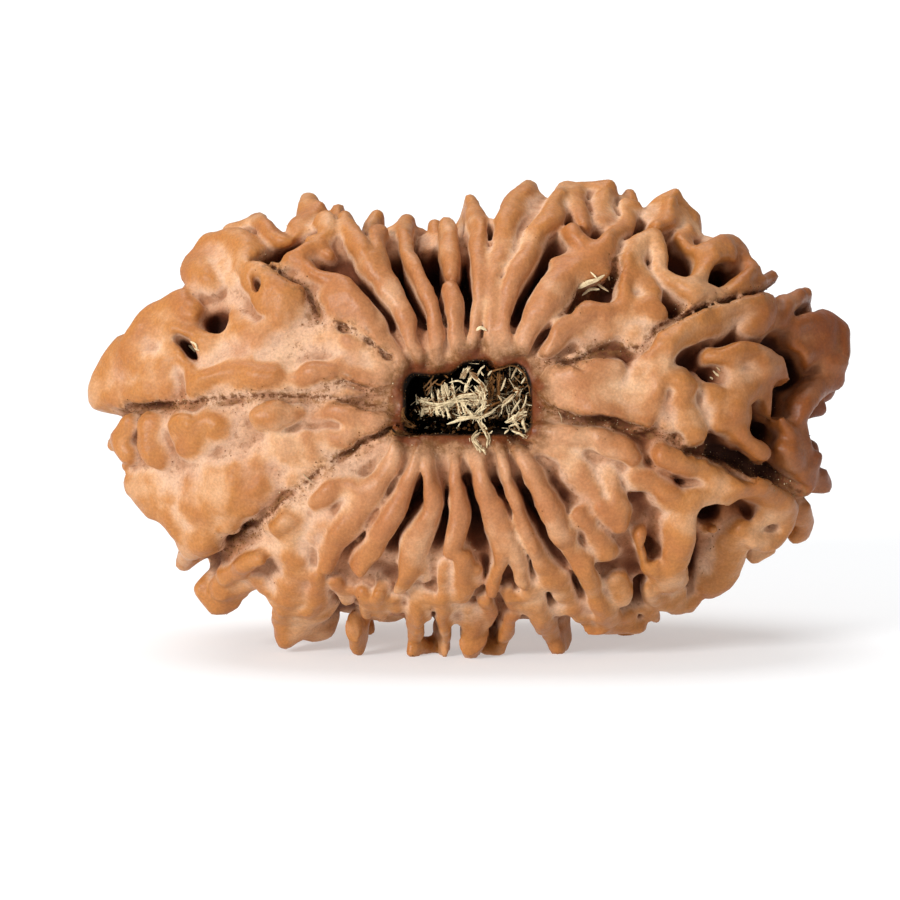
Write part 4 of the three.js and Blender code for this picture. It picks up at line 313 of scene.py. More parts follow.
# Fingers and bosses at the lower right.
BOTTOM_RIGHT = [
    [[3, -1, 0.4], [4.5, -1.4, 0.5], [6, -1.6, 0.6], [7.3, -1.9, 0.6], [8, -2.3, 0.45]],
    [[3.6, -2, 0.5, 0.3], [5.5, -2.5, 0.6, 0.4], [7, -2.8, 0.6, 0.4]],
    [[6.5, -3, 0.5, 0.2], [7.05, -4.1, 0.65], [7.35, -5.1, 0.7, -0.05], [7.4, -5.6, 0.6]],
    [[5.4, -2.9, 0.4, 0.3], [6, -4, 0.4, 0.3]],
    [[8.2, -3.2, 0.7, 0.5], [9, -3.6, 0.8, 0.4], [9.6, -4.3, 0.6, 0.1]],
    [[5.35, -5.1, 0.45, 0.1], [6, -6.1, 0.6, 0.05], [6.6, -7, 0.6, 0.1]],
    [[6.35, -4.7, 0.4, 0.15], [6.65, -5.2, 0.4, 0.2]],
    [[4.5, -8.2, 0.35, 0.2], [5.1, -9.4, 0.35, 0.2], [5.7, -10.3, 0.35, 0.3]],
    [[5.3, -7.2, 0.45], [6, -8.4, 0.5], [6.6, -9.6, 0.65], [6.8, -10.1, 0.55]],
    [[7.3, -8.4, 0.5, 0.3], [7.6, -9.1, 0.5, 0.2]],
]

# Seam lines that run from the hole to the rim: [x, z, half width, depth under the crests].
SEAMS = [
    [[-17.1, 0.1, 0.08, 0.4], [-15.5, 0.2, 0.08, 0.9], [-13.5, 0.4, 0.08, 0.5], [-11.5, 0.65, 0.08, 0.6],
     [-9, 0.65, 0.08, 0.4], [-7, 0.55, 0.08, 0.4], [-5.5, 0.3, 0.08, 0.5], [-4, 0.05, 0.08, 0.6]],
    [[-7.2, 1, 0.08, 0.4], [-6, 1.45, 0.1, 0.7], [-5.2, 1, 0.1, 0.7], [-4, 0.9, 0.08, 0.5]],
    [[-3.6, -0.6, 0.1, 1], [-4.5, -1.25, 0.13, 1.3], [-6, -2.05, 0.13, 1.1], [-7.4, -3, 0.1, 0.8],
     [-8.5, -4, 0.1, 0.8], [-9.75, -5, 0.1, 0.9], [-11.1, -6.25, 0.13, 1.2], [-12.4, -7.05, 0.2, 1.9]],
    [[3.7, 2.35, 0.1, 0.9], [5, 2.25, 0.13, 1.1], [5.75, 2.75, 0.13, 1.1], [6.65, 3, 0.1, 0.9],
     [8.3, 3.05, 0.08, 0.5], [9.4, 4.2, 0.08, 0.6], [10.8, 4.85, 0.1, 1], [12.2, 5.35, 0.1, 1.1],
     [14.6, 5.85, 0.1, 1.2]],
    [[-10.2, 7.3, 0.1, 0.9], [-9.2, 6.7, 0.1, 0.8], [-8.3, 5.9, 0.1, 0.8], [-7.7, 5.2, 0.1, 0.9],
     [-7.5, 4.2, 0.1, 0.7]],
    [[-6.7, 4.3, 0.1, 0.6], [-5.8, 4, 0.1, 0.8], [-4.9, 3.3, 0.1, 0.8], [-4.1, 2.6, 0.08, 0.6]],
    [[4.9, 4.9, 0.12, 0.9], [5.5, 5.7, 0.2, 1.5], [6.9, 6.4, 0.2, 1.6], [7.2, 7.4, 0.18, 1.5]],
    [[3.2, 0.4, 0.14, 1.2], [4.25, -0.1, 0.16, 1.3], [5.25, -0.5, 0.13, 1.1], [7.25, -0.7, 0.13, 1.2],
     [8.65, -1.05, 0.08, 0.7], [10.5, -1.85, 0.08, 0.9], [11.8, -2.25, 0.24, 2], [13, -2.75, 0.35, 2.4],
     [14.75, -3.25, 0.35, 2.6], [16.4, -4.1, 0.26, 2.4]],
]

# Pits between the lobes: [x, z, half sizes, turn in degrees, depth].
PITS = [
    [-12.75, 4.5, 0.6, 0.8, 10, 2.3],
    [-14.15, 3.05, 0.8, 0.3, -36, 2.1],
    [-10.5, 6.05, 0.22, 0.4, 10, 0.9],
    [-9.5, 7.9, 1.1, 0.36, 27, 2.6],
    [-6.9, 7.2, 0.45, 0.2, -15, 1.8],
    [-7.9, -0.95, 0.6, 0.13, 5, 0.6],
    [-4.6, 0.45, 0.9, 0.22, 0, 0.7],
    [12.5, 6.8, 0.55, 0.85, -25, 3.4],
    [6.7, 5.9, 0.35, 0.5, -30, 2],
    [11.95, 1.75, 0.5, 0.45, 0, 1.9],
    [16.2, 2.3, 0.75, 0.85, 10, 4.2],
    [15.35, 0.4, 0.55, 0.8, 10, 3.6],
    [14.5, -1.05, 0.8, 0.55, -20, 3.6],
    [15.4, 3.5, 0.5, 0.5, 0, 2.2],
    [14, -5.35, 0.35, 0.5, 30, 2],
    [4.5, -3.7, 0.9, 0.32, -55, 0.6],
    [12, -5.3, 0.65, 0.65, 0, 3],
    [8.9, -7, 0.3, 0.6, 0, 1.6],
    [11.25, -7.5, 0.45, 1.3, 0, 3.4],
    [8.45, -9, 0.3, 0.6, 0, 2],
    [10.5, 7.4, 0.7, 1, 0, 2.4],
]

# Strands of the clump: lines of points [x, z, half width, y from the clump's middle].

# A comb of cream fibres with its teeth, an open triangle and long bent strands.
CREAM = [
    [[-2.55, 0.15, 0.16, -0.2], [-2, 0.15, 0.2, -0.25], [-1.35, 0.25, 0.2, -0.3],
     [-0.7, 0.45, 0.22, -0.3], [0, 0.55, 0.24, -0.25], [0.8, 0.6, 0.26, -0.2]],
    [[-2.5, 0.4, 0.12, -0.15], [-2.15, 0.45, 0.12, -0.2]],
    [[-2.5, -0.15, 0.1, -0.1], [-1.95, -0.05, 0.12, -0.2], [-1.3, 0.05, 0.12, -0.25]],
    [[-1.8, 0.25, 0.06, -0.3], [-1.85, 0.75, 0.05, -0.45]],
    [[-1.55, 0.3, 0.06, -0.3], [-1.6, 0.95, 0.05, -0.45]],
    [[-1.25, 0.35, 0.07, -0.3], [-1.4, 1.15, 0.06, -0.5]],
    [[-1, 0.4, 0.07, -0.35], [-1.2, 1.25, 0.06, -0.55]],
    [[-0.8, 0.5, 0.07, -0.35], [-0.95, 1.2, 0.06, -0.5]],
    [[-2.3, 0.1, 0.06, -0.2], [-2.35, -0.25, 0.05, -0.3]],
    [[-2, 0.1, 0.06, -0.25], [-1.9, -0.3, 0.05, -0.35]],
    [[-1.7, 0.1, 0.06, -0.25], [-1.6, -0.3, 0.05, -0.4]],
    [[-1.45, 0.1, 0.06, -0.3], [-1.3, -0.35, 0.05, -0.4]],
    [[-1.2, 0.15, 0.07, -0.3], [-1.05, -0.4, 0.05, -0.45]],
    [[-0.65, 0.4, 0.07, -0.3], [-0.5, -0.3, 0.06, -0.4]],
    [[-0.45, 0.4, 0.09, -0.3], [-0.2, -0.05, 0.1, -0.45], [0.15, -0.5, 0.09, -0.5]],
    [[0.75, 0.6, 0.11, -0.2], [0.55, 0, 0.1, -0.35], [0.2, -0.5, 0.09, -0.45]],
    [[-0.2, 0.5, 0.16, -0.1], [0.1, 0.3, 0.16, -0.1], [0.35, 0.1, 0.12, -0.1]],
    [[0.35, 0.95, 0.13, -0.2], [0.6, 0.75, 0.18, -0.25], [0.5, 0.25, 0.14, -0.25]],
    [[-1.05, -0.7, 0.05, -0.4], [-0.3, -0.5, 0.06, -0.6], [0.4, -0.45, 0.07, -0.65],
     [0.9, -0.25, 0.07, -0.55], [1.35, 0.1, 0.07, -0.35]],
    [[-0.7, -0.5, 0.05, -0.3], [-0.2, -0.4, 0.06, -0.5], [0.35, -0.35, 0.05, -0.55]],
    [[-0.6, -0.85, 0.03, -0.3], [-0.45, -0.55, 0.04, -0.4]],
    [[-1.05, 1.3, 0.035, -0.3], [-0.6, 1.4, 0.045, -0.45], [-0.25, 1.25, 0.035, -0.3]],
    [[0, 2.15, 0.09, -0.6], [-0.2, 1.9, 0.12, -0.7], [-0.4, 1.55, 0.07, -0.5]],
    [[-0.1, 1.9, 0.09, -0.6], [0.25, 1.55, 0.07, -0.65], [0.6, 1.2, 0.06, -0.6], [0.8, 0.9, 0.05, -0.4]],
    [[-0.25, 0.9, 0.08, -0.2], [-0.1, 1.3, 0.07, -0.4], [0, 1.7, 0.06, -0.5]],
    [[0.35, 1.6, 0.05, -0.4], [0.5, 1.95, 0.05, -0.6], [0.7, 2.15, 0.04, -0.6]],
    [[0.45, 1.9, 0.04, -0.5], [0.65, 1.65, 0.05, -0.5]],
    [[0.85, 1.65, 0.05, -0.3], [1.05, 1.9, 0.05, -0.5]],
]

# Dull straws, brown chips and the wisps at the left of the mouth.
DULL = [
    [[-2.2, 0.9, 0.04, -0.1], [-1.9, 1.2, 0.04, -0.25], [-1.6, 1.5, 0.03, -0.3]],
    [[-2.3, 1.05, 0.04, 0], [-2.05, 1.3, 0.04, -0.15], [-1.8, 1.6, 0.03, -0.2]],
    [[-2.15, 0.65, 0.04, 0], [-1.95, 1.1, 0.04, -0.1], [-1.95, 1.5, 0.03, -0.1]],
    [[-1.8, 1.35, 0.04, -0.1], [-1.5, 1.2, 0.04, -0.2], [-1.25, 1.45, 0.03, -0.2]],
    [[-1.3, 1.7, 0.04, -0.2], [-1.1, 1.55, 0.05, -0.3]],
    [[0.9, 0.4, 0.1, 0], [1, 1, 0.14, -0.1], [1.15, 1.6, 0.1, -0.2]],
    [[1.35, 0.6, 0.08, 0], [1.4, 1.2, 0.1, -0.1], [1.45, 1.7, 0.07, -0.2]],
    [[0.9, 1.8, 0.04, -0.4], [1.5, 2, 0.045, -0.55], [2.1, 2.15, 0.045, -0.6], [2.6, 1.8, 0.045, -0.5],
     [2.85, 1.2, 0.04, -0.3], [2.95, 0.6, 0.04, -0.2]],
    [[0.4, -0.1, 0.05, -0.2], [0.8, 0.25, 0.06, -0.2], [1.2, 0.5, 0.05, -0.1]],
    [[0.6, -0.3, 0.05, -0.2], [1, 0.15, 0.05, -0.3], [1.5, 0.4, 0.04, -0.2]],
    [[-3.3, 0.1, 0.035, -0.4], [-3.35, -0.4, 0.05, -0.7], [-3.05, -0.8, 0.06, -0.8],
     [-2.65, -0.85, 0.05, -0.7]],
    [[-3.35, -0.1, 0.03, -0.4], [-3.15, -0.5, 0.04, -0.65], [-2.8, -0.75, 0.04, -0.7]],
    [[-3.9, -0.95, 0.06, -0.9], [-3.7, -1.2, 0.09, -1], [-3.3, -1.3, 0.06, -1],
     [-2.6, -1.35, 0.03, -0.9]],
    [[-3.8, -1.05, 0.04, -0.9], [-3.3, -1.1, 0.04, -0.95], [-3, -1.2, 0.03, -0.9]],
]

# Pale slivers among the crumbs, chips at the lower right and a folded flake.
PALE = [
    [[1.5, 0.9, 0.04, -0.2], [1.65, 1.25, 0.05, -0.3], [1.75, 1.55, 0.03, -0.3]],
    [[2, 1.5, 0.04, -0.3], [2.2, 1.9, 0.05, -0.45], [2.35, 2.2, 0.04, -0.5]],
    [[2.25, 2.1, 0.04, -0.5], [2.5, 1.8, 0.04, -0.5]],
    [[2.7, 1.6, 0.05, -0.3], [2.5, 1.25, 0.05, -0.3]],
    [[1.5, 0.2, 0.04, -0.2], [1.8, 0.4, 0.06, -0.35], [2.1, 0.7, 0.05, -0.3]],
    [[2.05, 0.9, 0.07, -0.3], [2.4, 0.95, 0.09, -0.35], [2.35, 0.7, 0.05, -0.3]],
    [[2, -0.25, 0.05, -0.3], [2.3, 0.25, 0.05, -0.4], [2.5, 0.5, 0.03, -0.3]],
    [[1.35, 0.7, 0.04, -0.2], [1.55, 0.4, 0.05, -0.3]],
    [[2.5, -0.05, 0.04, -0.3], [2.7, 0.35, 0.04, -0.4], [2.75, 0.7, 0.03, -0.3]],
    [[1.85, -0.7, 0.08, -0.75], [2.2, -0.4, 0.15, -0.85], [2.65, -0.1, 0.1, -0.8]],
    [[2.1, -1.05, 0.05, -0.95], [2.45, -1.15, 0.1, -1.05], [2.8, -1.35, 0.05, -1]],
    [[2.55, -0.3, 0.06, -0.8], [2.55, -0.7, 0.07, -0.9], [2.75, -1.1, 0.05, -0.95]],
    [[1.9, -0.9, 0.05, -0.8], [2.2, -0.7, 0.06, -0.9], [2.4, -0.95, 0.05, -0.95]],
    [[2.15, -0.55, 0.04, -0.8], [2.35, -0.85, 0.04, -0.95]],
    [[0.45, -0.55, 0.06, -0.6], [0.6, -0.85, 0.1, -0.85], [0.7, -1.05, 0.07, -0.95]],
    [[0.4, -1.1, 0.05, -1], [0.1, -1.45, 0.09, -1.1], [0.4, -1.8, 0.13, -1.15],
     [0.7, -2.15, 0.06, -1.15]],
    [[0.7, -1.05, 0.05, -1], [0.9, -1.4, 0.09, -1.1], [0.8, -1.85, 0.08, -1.12]],
    [[1.65, -1.2, 0.05, -0.85], [1.9, -1, 0.05, -0.8]],
]

# Straw and hairs in the crevices; here the last value is the height over the skin.
STRAY = [
    [[5.3, 5.95, 0.09, 0.1], [5.75, 6.2, 0.14, 0.2], [6.2, 6.35, 0.1, 0.25], [6.6, 6.6, 0.05, 0.2]],
    [[5.5, 5.6, 0.05, 0.1], [5.9, 5.9, 0.08, 0.15], [6.35, 5.9, 0.06, 0.2]],
    [[6, 6.5, 0.05, 0.15], [6.35, 6.1, 0.07, 0.2], [6.8, 5.8, 0.04, 0.2]],
    [[5.9, 6.75, 0.04, 0.1], [6.2, 6.45, 0.05, 0.2]],
    [[6.7, 6.9, 0.05, 0], [6.85, 6.35, 0.07, 0.05]],
    [[-8.25, -3.1, 0.02, 0.1], [-8.05, -3.35, 0.025, 0.15], [-7.75, -3.6, 0.02, 0.1]],
    [[4.3, -0.1, 0.02, 0.15], [4.45, -0.4, 0.02, 0.2], [4.5, -0.8, 0.02, 0.1]],
    [[0.3, 3.85, 0.06, 0.2], [0.5, 4, 0.09, 0.3], [0.8, 3.85, 0.05, 0.25]],
    [[-14.1, 3.35, 0.05, 0.1], [-13.8, 3.1, 0.08, 0.2], [-13.6, 2.85, 0.05, 0.15]],
    [[-13.8, 3.35, 0.04, 0.15], [-13.55, 3.2, 0.06, 0.2], [-13.45, 2.95, 0.04, 0.15]],
    [[-13.6, 3, 0.04, 0.15], [-13.35, 2.9, 0.05, 0.15]],
    [[11.95, 1.9, 0.04, 0.1], [12.15, 1.7, 0.06, 0.1], [12.35, 1.6, 0.04, 0.1]],
    [[11.8, 1.6, 0.04, 0.1], [12, 1.45, 0.05, 0.1]],
    [[12.1, 2.1, 0.04, 0.1], [12.3, 1.9, 0.04, 0.1]],
]

# How deep the skin lies under the crests: deep slots between the fins, shallow dips among the lobes.
VALLEY = 1.0
FIN_SLOT = 1.6
LEFT_EXTRA = -0.3
RIGHT_EXTRA = 1.1
RIM_EXTRA = 1.1
RIM_HALF_Y = 4.5
LIP = 0.5
LIP_HALF_X = 3.4
LIP_HALF_Z = 3.3

# Where the dips of each side set in on the face, and the stretch over which they grow.
LEFT_SIDE = (3, 4)
RIGHT_SIDE = (5, 5)
LOWER_RIGHT = (3.5, 1.5)
LOWER_RIGHT_SHARE = 0.8

# The sole, a band that the lowest spines hang from: a little fuller at the front, sunk at the back.
SOLE_HALF_X = 7.5
SOLE_Z = -10.5
SOLE_HALF_Z = 1.7
SOLE_SHARE = 0.7
SOLE_FILL = 0.1
SOLE_BACK = 1.0
SOLE_BACK_FROM = (0.5, 2)

# The zones of thin fins: their middle, half width at each side and its growth away from the hole.
FINS_X = -0.2
FINS_HALF_RIGHT = 3.7
FINS_HALF_LEFT = 4.2
FINS_SPREAD = 0.25

# Distance above and below the hole's middle at which the slots set in, and the stretch over which they do.
SLOT_FROM_TOP = 3.3
SLOT_FROM_LOW = 3.7
SLOT_STRETCH = 0.7

# Heights at which the slots have run out, the stretches over which they do, and what stays at the top.
SLOT_END_TOP = 8.8
SLOT_FADE_TOP = 2.5
SLOT_LEAST_TOP = 0.1
SLOT_END_LOW = -7
SLOT_FADE_LOW = 2

# Waves are [height, length, seed]. These bend the space of the shapes, for uneven, grown forms.
BENDS = [[0.17, 3.0, 20], [0.05, 1.4, 30]]
BEND_CALM = 0.75

# Waves of the skin, of the start of the slots, of the hole's wall and of the finest relief.
SKIN_WAVES = [[0.22, 4.5, 3], [0.12, 2.2, 5]]
SKIN_CALM = 0.7
SLOT_WAVES = [[0.35, 1.7, 41]]
HOLE_WAVES = [[0.14, 2.6, 11], [0.11, 0.9, 12], [0.05, 0.45, 13]]
RELIEF = [[0.03, 1.2, 71], [0.025, 0.6, 72]]

# The fins above and below the hole are built this much wider than their rows say.
TOP_WIDER = 1.12
LOW_WIDER = 1.1

# First numbers of the draws for the fins and for the knobs of the low band.
FIRST_FIN = 200
FIRST_KNOB = 400

# Ups and downs along a ridge, and how much its width swells and shrinks.
RIDGE_RISE = [[0.25, 2.8, 51]]
RIDGE_SWELL = [[0.12, 1.6, 52]]

# Depth of the walls under a ridge line, the fillet at their foot and how much they widen downwards.
LEFT_LOBE = {"deep": 2.0, "fillet": 0.5, "widen": 0.12}
RIGHT_LOBE = {"deep": 2.8, "fillet": 0.4, "widen": 0.12}
FIN = {"deep": 2.8, "fillet": 0.3, "widen": 0.05}
OVER_RIM = {"deep": 1.6, "fillet": 0.4, "widen": 0.15}
BACK_FOOT = {"deep": 0.1, "fillet": 0.4, "widen": 0}
CREVICE = {"deep": 3.0, "fillet": 0.3, "widen": 0.03}

# Seams are cut a little narrower and shallower than drawn, and they wander and rise on the way.
SEAM_STEPS = 6
SEAM_NARROW = 0.85
NARROWEST_SEAM = 0.12
SEAM_DEPTH = 0.85
SEAM_WANDER_X = [[0.1, 1.1, 81]]
SEAM_WANDER_Z = [[0.1, 0.9, 82]]
SEAM_RISE = [[0.3, 1.5, 83]]

# Pits go nearly straight back, not square to the skin. Their middle and half size along it, in depths.
PIT_STRAIGHT = 1.5
PIT_MIDDLE = 0.35
PIT_HALF_DEPTH = 0.75
PIT_MARGIN = 1.3
PIT_FILLET = 0.5

# Rounding of the hole's edge.
HOLE_FILLET = 0.35

# How far the upper edge of the mouth stands above its plain height: [x, rise].
MOUTH_TOP = [
    [-3.4, -0.6], [-2.8, -0.45], [-1.9, -0.55], [-0.9, -0.4], [-0.3, 0.05], [0.3, 0.2],
    [0.85, 0.1], [1.05, -0.35], [1.6, -0.2], [2.3, 0.0], [2.7, -0.2], [3.1, -0.7],
]

# The back is the front seen in a mirror, a little smaller, with ridges nudged or left out.
BACK_X = 0.96
BACK_Z = 0.92
BACK_JITTER = 0.5
BACK_SKIP = 0.2
BACK_WIDEN = 1.1
BACK_PIT_SKIP = 0.4

# Ridges over the rim carry on those that come near the outline: half their reach in y and their form.
RIM_STEPS = (-1, -0.5, 0, 0.5, 1)
RIM_REACH = 3.4
RIM_SHARE = 0.92
RIM_WIDTH = 0.9
RIM_SINK = 0.15
RIM_DIP = 1.1
RIM_DIP_LEAST = 0.6
RIM_DIP_SPREAD = 0.8
RIM_LEAN = 0.05

# Low ridges over the rim lie between the others.
LOW_RIDGES = 36
LOW_JITTER = 0.7
LOW_WIDTH = 0.45
LOW_WIDTH_SPREAD = 0.3
LOW_SINK = 1.6

# Spines that end below this height stand on the front alone.
SPINE_LEVEL = -10.8

# Sampling of the space round the seed, the size of the finished skin and what counts as on the floor.
SPACE_LOW = (-21.5, -13.5, -14.5)
SPACE_HIGH = (21.5, 13.5, 13.5)
CELL = 0.16
SKIN_TRIANGLES = 190000
FAR = 10.0
SPARE = 0.3
ON_FLOOR = 0.05

# Care that thinning takes of the front and the back, the y where it changes and how much it counts.
FRONT_CARE = 0.9
BACK_CARE = 0.4
CARE_TURNS = 3.0
CARE_FACTOR = 0.003
CARE_LEVELS = 10

# Reach of the two measures of fullness: fine for crests, broad for crevices.
FINE_REACH = 0.35
BROAD_REACH = 1.0

# The painted shade of the right end, darker and browner, begins farther right the lower a point lies below
# this height.
END_LEVEL = -2.5
END_SLANT = 1.2

# The clump of fibres: its middle, and the near-black bed behind it, painted shade deep in the hole, with
# its half sizes.
CLUMP_AT = [0, -8.0, 0]
CLUMP_SHAKE = 0.008
BED_AT = [-0.15, -4.6, 0.5]
BED_HALF = [2.75, 1.6, 1.65]
BED_SQUARE = 0.7
BED_LUMP = 0.16
BED_WAVES = [[1.0, 0.9, 61], [0.6, 0.35, 62]]
BED_GRIT = 0.4

# Brightness of the strands, from dark brown at 0 to cream at 1.
# The bed's tone is near black: painted shade deep in the hole.
BED_SHADE_TONE = 0.02
CREAM_TONES = (0.8, 1.0)
DULL_TONES = (0.35, 0.6)
PALE_TONES = (0.7, 0.95)
STRAY_TONES = (0.7, 1.0)

# A strand is a flat blade with tapering tips, and its flat side faces this way.
BLADE_FLAT = 0.55
BLADE_TIP = 0.45
BLADE_FACE = [0, 1, 0.15]

# A strand that would touch the skin lies this many of its half widths in front of it.
STRAND_CLEAR = 1.5

# A thick strand is a bundle of thin fibres. Some of them are darker, and some stick out.
BUNDLE_FROM = 0.055
BUNDLE_COUNT = 260
BUNDLE_FLAT = [1, 0.6, 1]
BUNDLE_FRAY = 0.45
FIBRE_WIDTHS = (0.02, 0.06)
LOOSE_ODDS = 0.25
LOOSE_LENGTH = 0.2
DARK_ODDS = 0.3
DARK_STEP = 0.3

# Crumbs among the fibres: most at the right of the mouth, the others along its foot.
MOUTH_CRUMBS = 1000
MOUTH_CRUMBS_RIGHT = 0.7
MOUTH_CRUMB_SIZES = (0.04, 0.15)
MOUTH_CRUMB_TONES = [0.03, 0.1, 0.3, 0.55, 0.9]
MOUTH_CRUMB_ODDS = [0.25, 0.2, 0.3, 0.18, 0.07]
CRUMBS_AT_RIGHT = {"x": (0.7, 2.9), "z": (-0.5, 2.0), "y": (-7.6, -6.4)}
CRUMBS_AT_FOOT = {"x": (-3.0, 1.5), "z": (-1.1, 0.1), "y": (-7.0, -5.9)}

# Short slivers among those crumbs.
MOUTH_SLIVERS = 230
SLIVERS_RIGHT = 0.6
SLIVER_TONES = [0.3, 0.5, 0.65, 0.85, 1.0]
SLIVER_FLAT = [1, 0.5, 1]
SLIVER_REACH = (0.12, 0.38)
SLIVER_BEND = 0.04
SLIVER_WIDTHS = (0.015, 0.04)
SLIVERS_AT_RIGHT = {"x": (0.8, 2.9), "y": (-7.9, -7.0), "z": (-0.3, 2.0)}
SLIVERS_AT_LEFT = {"x": (-2.3, 1.2), "y": (-7.9, -7.0), "z": (-0.4, 1.2)}

# Dirt on the skin: number of crumbs, their tones with the odds of each, their sizes and how they lie.
SKIN_CRUMBS = 6000
CRUMB_TONES = [0.3, 0.4, 0.5, 0.65, 0.9]
CRUMB_ODDS = [0.3, 0.3, 0.2, 0.15, 0.05]
CRUMB_SIZES = (0.015, 0.05)
CRUMB_LIFT = 0.4
CRUMB_UNEVEN = (0.5, 1.2)

# Where that dirt gathers: reach of the seams and the mouth in mm, and shares of each kind of place.
SEAM_REACH = 0.45
MOUTH_REACH = 0.5
SEAM_CRUMBS = 0.7
OPEN_CRUMBS = 0.25
HOLLOW_CRUMBS = 0.02
STRAY_CRUMBS = 0.002
HOLLOW_FROM = -0.05
HOLLOW_TO = 0.1

# It lies in front of this y, and not farther into the mouth than this.
DIRT_FRONT = -0.5
DIRT_IN_MOUTH = -0.1

# The search for the foremost skin over a place of the face: from, to and step in y.
SEARCH_Y = (-12.5, 4, 0.05)

# Lights: name, way to the light, energy and apparent size in degrees.
LIGHTS = [
    ["key", (-0.85, -1.0, 0.5), 2.9, 18],
    ["top", (-0.2, 0.25, 1.0), 1.7, 45],
]
SKY_STRENGTH = 0.45

# The floor reaches this many metres to each side.
FLOOR_REACH = 3.0

# The camera: lens and sensor in mm, width of the picture, place at its middle, nearest and farthest sight.
LENS = 400
SENSOR = 36
PICTURE_WIDTH = 45
AIM = [-1.0, 0, -2.0]
CLIP = (0.01, 20)


def smooth_min(a, b, fillet):
    h = np.maximum(fillet - np.abs(a - b), 0) / fillet
    return np.minimum(a, b) - h * h * (fillet * 0.25)


def smooth_max(a, b, fillet):
    return -smooth_min(-a, -b, fillet)


def smooth_step(low, high, value):
    t = np.clip((value - low) / (high - low), 0, 1)
    return t * t * (3 - 2 * t)


def fraction(value):
    return value - math.floor(value)


def grown(value, start, stretch):
    """0 up to the start, then growing to 1 over the stretch."""
    return np.clip((value - start) / stretch, 0, 1)


def draw(index):
    """A repeatable draw between 0 and 1."""
    return fraction(math.sin(index * 12.9898 + 4.1414) * 43758.5453)


def make_waves(length, seed):
    """Smooth wobble between about -1 and 1, made of five crossing waves."""
    waves = []
    for i in range(5):
        turn = i * 2.4 + seed * 1.7
        up = 2 * fraction(i * 0.618 + seed * 0.37) - 1
        flat = math.sqrt(1 - up * up)
        k = 2 * math.pi / length * (0.75 + 0.55 * fraction(i * 0.754 + seed * 0.21))
        phase = 2 * math.pi * fraction(i * 0.529 + seed * 0.113)
        waves.append((k * flat * math.cos(turn), k * flat * math.sin(turn), k * up, phase))

    def wobble(x, y, z):
        return 0.32 * sum(np.sin(a * x + b * y + c * z + phase) for a, b, c, phase in waves)

    return wobble


def wobble_at(waves, x, y, z):
    """The sum of some waves [height, length, seed] at the points."""
    return sum(height * make_waves(length, seed)(x, y, z) for height, length, seed in waves)


def half_height(x, z):
    dip = SADDLE_DROP * np.exp(-(((x - SADDLE_X) / SADDLE_WIDTH) ** 2))
    return np.where(z > 0, HALF_TOP - dip, HALF_BOTTOM)


def outline_share(x, z):
    """0 at the pole axis, 1 on the crest outline of the face."""
    u = np.abs(x) / HALF_LENGTH
    v = np.abs(z) / half_height(x, z)
    return (u ** ROUNDNESS + v ** ROUNDNESS) ** (1 / ROUNDNESS)


def dimple(x, z):
    """How far the face sinks towards the hole."""
    u = (x - HOLE_X) / DIMPLE_X
    v = (z - HOLE_Z) / DIMPLE_Z
    return DIMPLE_DEPTH * np.exp(-u * u - v * v)


def crest_y(x, z, rim_share=FRONT_RIM):
    """Depth of the crests over a point of the front face: y of the crest surface."""
    share = np.minimum(outline_share(x, z), rim_share)
    dome = HALF_THICKNESS * (1 - share ** ROUNDNESS) ** (1 / ROUNDNESS)
    return dimple(x, z) - dome


def inward_at(points):
    x, y, z = points.T
    way = np.stack((-x / HALF_LENGTH ** 2, -y / HALF_THICKNESS ** 2, -z / half_height(x, z) ** 2), axis=1)
    return way / np.linalg.norm(way, axis=1, keepdims=True)


def fin_zone(x, z):
    """1 in the two zones of tall thin fins above and below the hole, 0 among the lobes."""
    half = np.where(x > 0, FINS_HALF_RIGHT, FINS_HALF_LEFT) + FINS_SPREAD * np.abs(z)
    across = np.exp(-((np.abs(x - FINS_X) / half) ** 4))
    ragged = wobble_at(SLOT_WAVES, x, 0 * x, z)
    start = np.where(z > 0, SLOT_FROM_TOP, SLOT_FROM_LOW)
    near = np.clip((np.abs(z - HOLE_Z) - start + ragged) / SLOT_STRETCH, 0, 1)
    far_top = np.clip((SLOT_END_TOP - z) / SLOT_FADE_TOP, SLOT_LEAST_TOP, 1)
    return across * near * np.where(z > 0, far_top, grown(z, SLOT_END_LOW, SLOT_FADE_LOW))


def valley_depth(x, y, z):
    """How deep the skin lies under the crest surface."""
    left = grown(-x, *LEFT_SIDE)
    right = grown(x, *RIGHT_SIDE) * (1 - LOWER_RIGHT_SHARE * grown(-z, *LOWER_RIGHT))
    under = np.where(z < 0, np.exp(-((x / SOLE_HALF_X) ** 4)), 0)
    rim = np.exp(-((y / RIM_HALF_Y) ** 2)) * (1 - SOLE_SHARE * under)
    lip = np.exp(-(((x - HOLE_X) / LIP_HALF_X) ** 4) - ((z - HOLE_Z) / LIP_HALF_Z) ** 4)
    sole = np.exp(-(((z - SOLE_Z) / SOLE_HALF_Z) ** 2) - (x / SOLE_HALF_X) ** 4)
    fill = SOLE_FILL * sole - (SOLE_FILL + SOLE_BACK) * sole * grown(y, *SOLE_BACK_FROM)
    extra = FIN_SLOT * fin_zone(x, z) + LEFT_EXTRA * left + RIGHT_EXTRA * right + RIM_EXTRA * rim
    return VALLEY + extra - LIP * lip - fill


def smooth_line(points, steps=3):
    """A smooth line through a few points [x, z, half width, sink], some steps to each stretch."""
    full = [np.array([*p, 0.0][:4], float) for p in points]
    if len(full) == 1:
        full.append(full[0] + np.array([0.01, 0, 0, 0]))
    stretch = [2 * full[0] - full[1], *full, 2 * full[-1] - full[-2]]
    line = []
    for a, b, c, d in zip(stretch, stretch[1:], stretch[2:], stretch[3:]):
        bend = 2 * a - 5 * b + 4 * c - d
        twist = 3 * b - a - 3 * c + d
        for t in np.arange(steps) / steps:
            line.append(0.5 * (2 * b + (c - a) * t + bend * t * t + twist * t ** 3))
    line.append(full[-1])
    return np.array(line)


